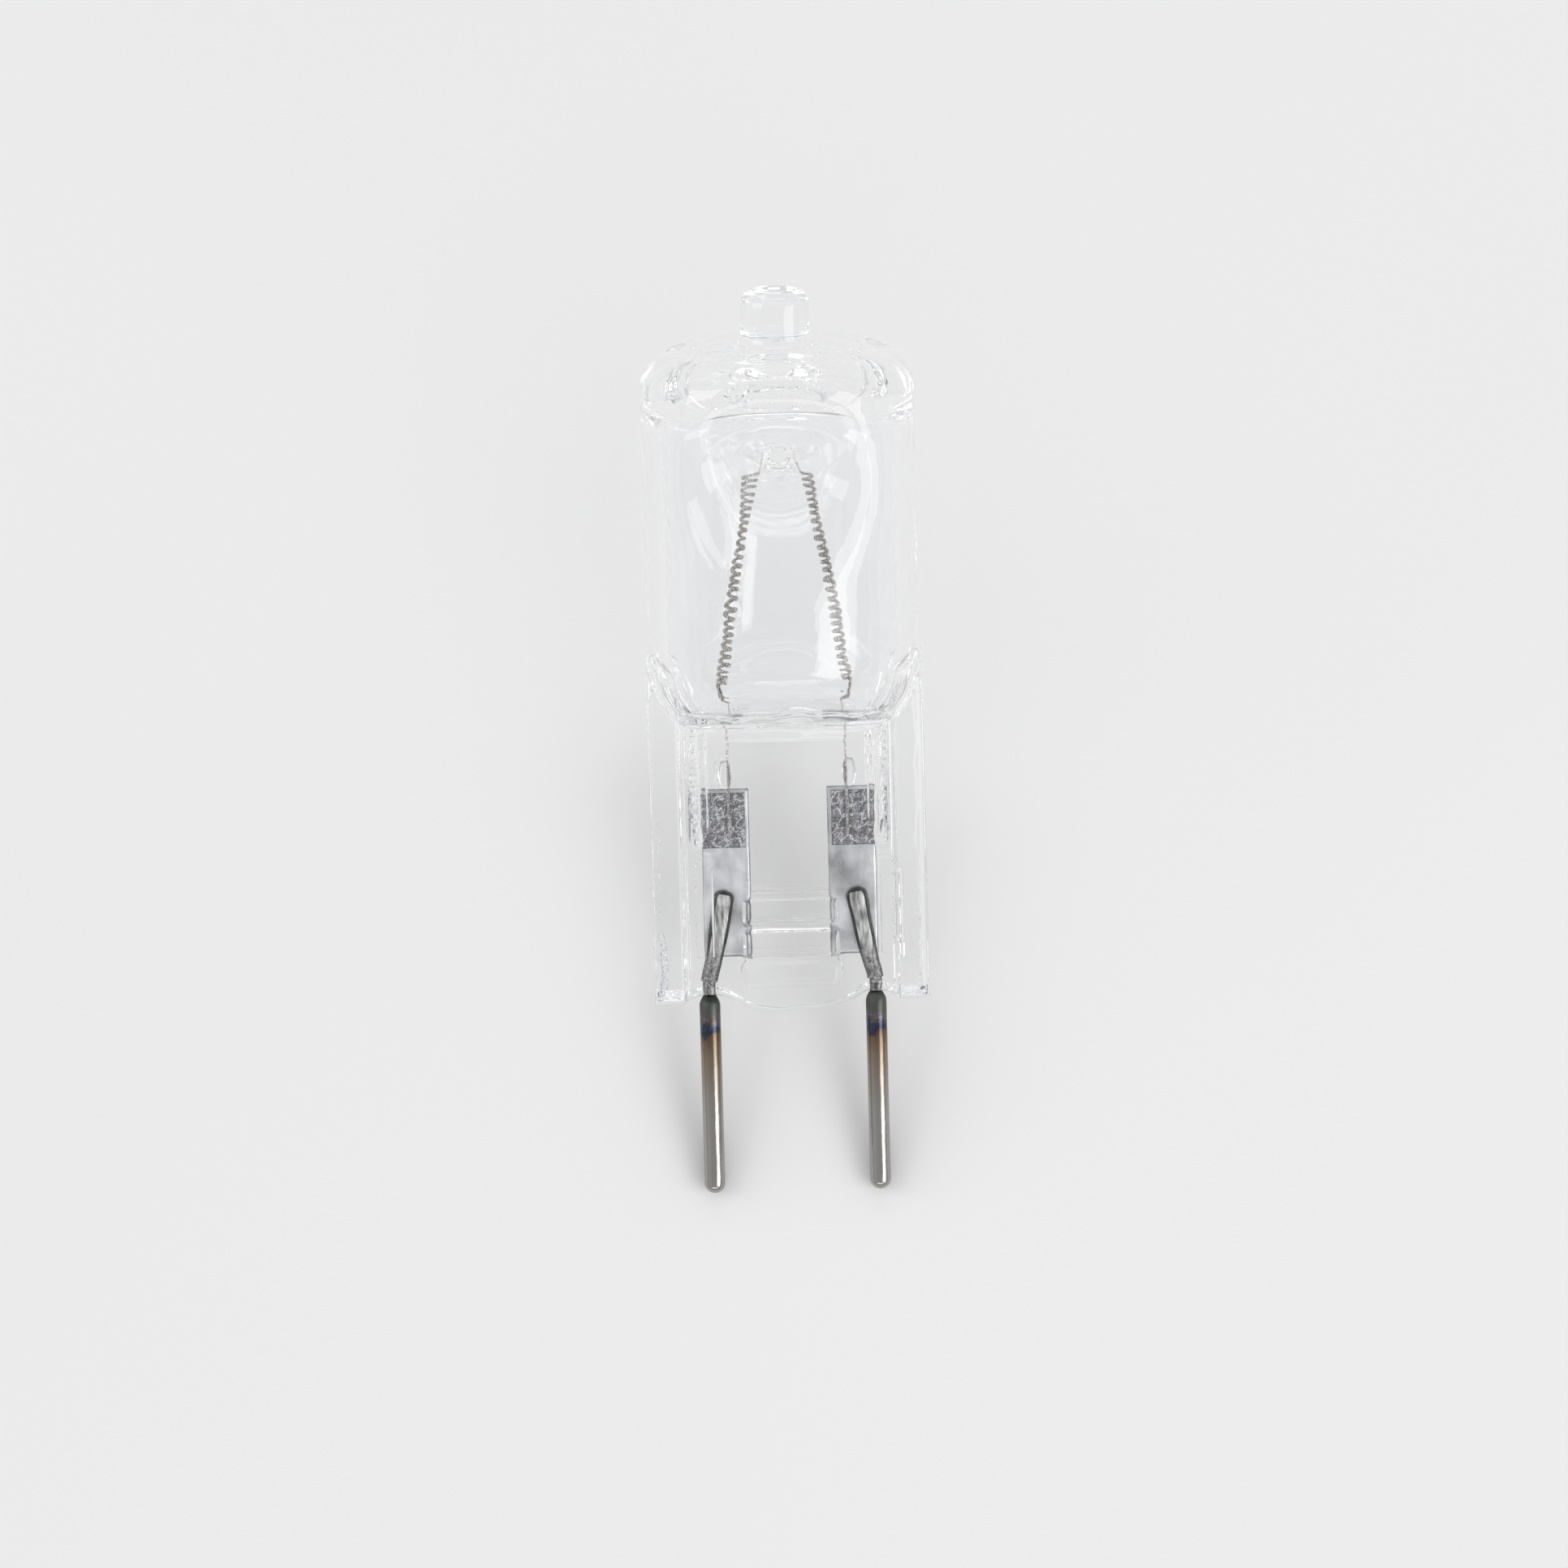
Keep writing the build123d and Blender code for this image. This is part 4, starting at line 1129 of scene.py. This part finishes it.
class LAMP_OT_filament(bpy.types.Operator):
    """Build the coiled-coil filament with its tails and the wire over the post"""
    bl_idname = "lamp.build_filament"
    bl_label = "Filament"

    def execute(self, context):
        scene = context.scene
        f = lengths(scene.lamp_filament)
        g = glass_sizes(scene.lamp_glass)
        parts, heads = [], {}
        for side in SIDES.values():
            limb, foot, head = coil_limb(f, side)
            heads[side] = head
            parts.append(limb)
            tail = side * tail_offset(f)
            parts.append(fine_tail(f, tail))
            down = smooth_path((foot, foot + (0.0, 0, -0.25), (tail, 0.02, f.tail_top + 1.6),
                                (tail, 0, f.tail_top - 0.1)), 40)
            parts.append(plain_wire(down, f.bridge_diameter))
        reach = math.hypot(g.post_half_width, g.post_half_height) * 0.86 + f.bridge_diameter
        top = g.post_height
        high = g.post_half_height + 0.7 * f.bridge_diameter
        left, right = (
            (heads[side], blend(heads[side], np.array((side * reach, 0, top)), 0.25),
             (side * reach * 0.98, 0, top + 0.05), (side * reach * 0.72, 0, top + high * 0.8))
            for side in SIDES.values())
        over = (*left, (0, 0, top + high), *right[::-1])
        parts.append(plain_wire(smooth_path(over, 120), f.bridge_diameter))
        material = tungsten_material(scene.lamp_look.tungsten_colour)
        make_piece("coiled_filament", *gather(parts), material, "filament", "tungsten")
        return {"FINISHED"}


class LAMP_OT_foils(bpy.types.Operator):
    """Build the two smooth sealing foils"""
    bl_idname = "lamp.build_foils"
    bl_label = "Sealing foils"

    def execute(self, context):
        m = lengths(context.scene.lamp_metal)
        material = foil_material(context.scene.lamp_look.foil_colour)
        for name, side in SIDES.items():
            u, v = plate_grid(25, 61)
            x = side * m.foil_offset + m.foil_width * u
            s = m.foil_bottom + m.foil_length * v
            sway = 0.012 * np.sin(2.2 * s + side) * np.cos(3 * u) + 0.01 * np.sin(5 * u + 1.2 * s)
            points, faces = thin_plate(x, s, sway - m.foil_back - m.foil_thickness / 2, m.foil_thickness)
            make_piece("sealing_foil_" + name, points, faces, material, "foil_" + name, "foil")
        return {"FINISHED"}


class LAMP_OT_tabs(bpy.types.Operator):
    """Build the two dark crinkled weld tabs"""
    bl_idname = "lamp.build_tabs"
    bl_label = "Weld tabs"

    def execute(self, context):
        m = lengths(context.scene.lamp_metal)
        material = tab_material(context.scene.lamp_look.tab_colour)
        top = m.foil_bottom + m.foil_length - m.tab_border
        for name, side in SIDES.items():
            u, v = plate_grid(64, 80)
            x = side * (m.foil_offset + m.foil_width / 2 - m.tab_width / 2) + m.tab_width * u
            s = top - m.tab_length * v
            across, along = np.sin(9 * x + 3 * np.sin(4 * s + side)), np.sin(7 * s + 4 * np.sin(5 * x))
            middle = 0.012 * (np.abs(across) + np.abs(along)) - m.foil_back + m.tab_thickness / 2 - 0.01
            points, faces = thin_plate(x, s, middle, m.tab_thickness)
            make_piece("crinkled_tab_" + name, points, faces, material, "weld_tab_" + name, "weld_tab")
        return {"FINISHED"}


class LAMP_OT_leads(bpy.types.Operator):
    """Build the two lead wires, flattened where they lie on the foils"""
    bl_idname = "lamp.build_leads"
    bl_label = "Lead wires"

    def execute(self, context):
        m = lengths(context.scene.lamp_metal)
        material = lead_material(context.scene.lamp_look.lead_colour)
        for name, side in SIDES.items():
            points, faces, rim = lead_form(m, side)
            make_piece("lead_" + name, points, faces, material, "lead_wire_" + name, "lead", rim)
        return {"FINISHED"}


class LAMP_OT_pins(bpy.types.Operator):
    """Build the two contact pins with their tapered tops and round tips"""
    bl_idname = "lamp.build_pins"
    bl_label = "Contact pins"

    def execute(self, context):
        m = lengths(context.scene.lamp_metal)
        material = pin_material(context.scene.lamp_look.pin_colour)
        radius, neck = m.pin_diameter / 2, m.lead_diameter / 2
        shoulder = np.linspace(0, 1, 9)
        flare = blend(neck, radius, np.sin(shoulder * math.pi / 2))
        top = np.stack((flare, -m.pin_taper * shoulder), axis=1)
        height = np.linspace(-m.pin_taper, radius - m.pin_length, 26)[1:-1]
        side = np.stack((np.full_like(height, radius), height), axis=1)
        tip = arc((0, radius - m.pin_length), radius, 0, -90, 12)
        tip[-1, 0] = 0
        profile = np.concatenate((np.zeros((1, 2)), top, side, tip))
        for name, hand in SIDES.items():
            points, faces = turned(profile, hand * m.pin_pitch / 2)
            make_piece("pin_" + name, points.reshape(-1, 3), faces, material, "contact_pin_" + name, "pin")
        return {"FINISHED"}


def soft_box(name, location, size, brightness):
    """An oblong area light that faces the lamp."""
    lamp = bpy.data.lights.new(name, "AREA")
    lamp.shape = "RECTANGLE"
    lamp.size, lamp.size_y = size
    lamp.energy = brightness * math.pi * size[0] * size[1]
    holder = bpy.data.objects.new(name, lamp)
    holder.location = location
    away = location - LIGHT_TARGET
    lean = math.atan2(math.hypot(away[0], away[1]), away[2])
    holder.rotation_euler = (lean, 0, math.atan2(away[0], -away[1]))
    bpy.context.scene.collection.objects.link(holder)


class LAMP_OT_stage(bpy.types.Operator):
    """Set the floor, the soft light and the camera that looks down"""
    bl_idname = "lamp.set_stage"
    bl_label = "Stage"

    def execute(self, context):
        scene, stage = context.scene, context.scene.lamp_stage
        mesh = bpy.data.meshes.new("floor")
        corners = [(x * FLOOR_REACH, y * FLOOR_REACH, 0) for x, y in ((-1, -1), (1, -1), (1, 1), (-1, 1))]
        mesh.from_pydata(corners, [], [(0, 1, 2, 3)])
        mesh.materials.append(floor_material(scene.lamp_look.floor_colour))
        floor = bpy.data.objects.new("floor", mesh)
        scene.collection.objects.link(floor)
        for name, location, size, light in SOFT_BOXES:
            soft_box(name, location, size, getattr(stage, light))
        world = bpy.data.worlds.new("surroundings")
        scene.world = world
        world.use_nodes = True
        tree = world.node_tree
        tree.nodes.clear()
        rise = add(tree, "SeparateXYZ", {0: add(tree, "TexCoord").outputs["Generated"]})
        sky = greys(tree, rise.outputs["Z"], (0.0, stage.sky_edge), (0.08, stage.sky_edge),
                    (0.22, stage.sky_side), (0.95, stage.sky_top))
        shell = add(tree, "Background", {"Color": sky, "Strength": 1.0})
        tree.links.new(shell.outputs[0], add(tree, "OutputWorld").inputs["Surface"])
        camera = bpy.data.objects.new("camera", bpy.data.cameras.new("camera"))
        camera.data.sensor_width = 36.0
        camera.data.lens = stage.focal_pixels / FRAME_PIXELS * camera.data.sensor_width
        camera.data.clip_start, camera.data.clip_end = 0.01, 20.0
        camera.location = (stage.camera_across, stage.camera_along, stage.camera_height)
        camera.rotation_euler = (0, 0, stage.camera_roll)
        scene.collection.objects.link(camera)
        scene.camera = camera
        scene.view_settings.view_transform = "Standard"
        scene.view_settings.look = "None"
        cycles = scene.cycles
        cycles.max_bounces, cycles.transmission_bounces = 120, 120
        cycles.glossy_bounces, cycles.transparent_max_bounces = 60, 60
        cycles.caustics_reflective = cycles.caustics_refractive = False
        cycles.blur_glossy = 0.0
        cycles.sample_clamp_indirect = 3.0
        cycles.use_denoising = True
        return {"FINISHED"}


GROUPS = {"lamp_glass": LampGlass, "lamp_metal": LampMetal, "lamp_filament": LampFilament,
          "lamp_look": LampLook, "lamp_stage": LampStage}
OPERATORS = (LAMP_OT_glass, LAMP_OT_filament, LAMP_OT_foils, LAMP_OT_tabs, LAMP_OT_leads, LAMP_OT_pins,
             LAMP_OT_stage)


class LAMP_PT_panel(bpy.types.Panel):
    """Lists the lamp's pieces, sizes and colours"""
    bl_label = "Capsule lamp"
    bl_idname = "LAMP_PT_panel"
    bl_space_type = "VIEW_3D"
    bl_region_type = "UI"
    bl_category = "Lamp"

    def draw(self, context):
        for operator in OPERATORS:
            self.layout.operator(operator.bl_idname)
        for name, group in GROUPS.items():
            box = self.layout.box()
            for field in group.__annotations__:
                box.prop(getattr(context.scene, name), field, text=field.replace("_", " ").capitalize())


def register():
    """Register the property groups, the operators and the panel."""
    for name, group in GROUPS.items():
        bpy.utils.register_class(group)
        setattr(bpy.types.Scene, name, PointerProperty(type=group))
    for cls in (*OPERATORS, LAMP_PT_panel):
        bpy.utils.register_class(cls)


def unregister():
    """Take back what register did, in the other order."""
    for cls in (LAMP_PT_panel, *reversed(OPERATORS)):
        bpy.utils.unregister_class(cls)
    for name, group in reversed(GROUPS.items()):
        delattr(bpy.types.Scene, name)
        bpy.utils.unregister_class(group)


def main():
    """Build every piece and the stage."""
    register()
    bpy.ops.lamp.build_glass()
    bpy.ops.lamp.build_filament()
    bpy.ops.lamp.build_foils()
    bpy.ops.lamp.build_tabs()
    bpy.ops.lamp.build_leads()
    bpy.ops.lamp.build_pins()
    bpy.ops.lamp.set_stage()


if __name__ == "__main__":
    main()
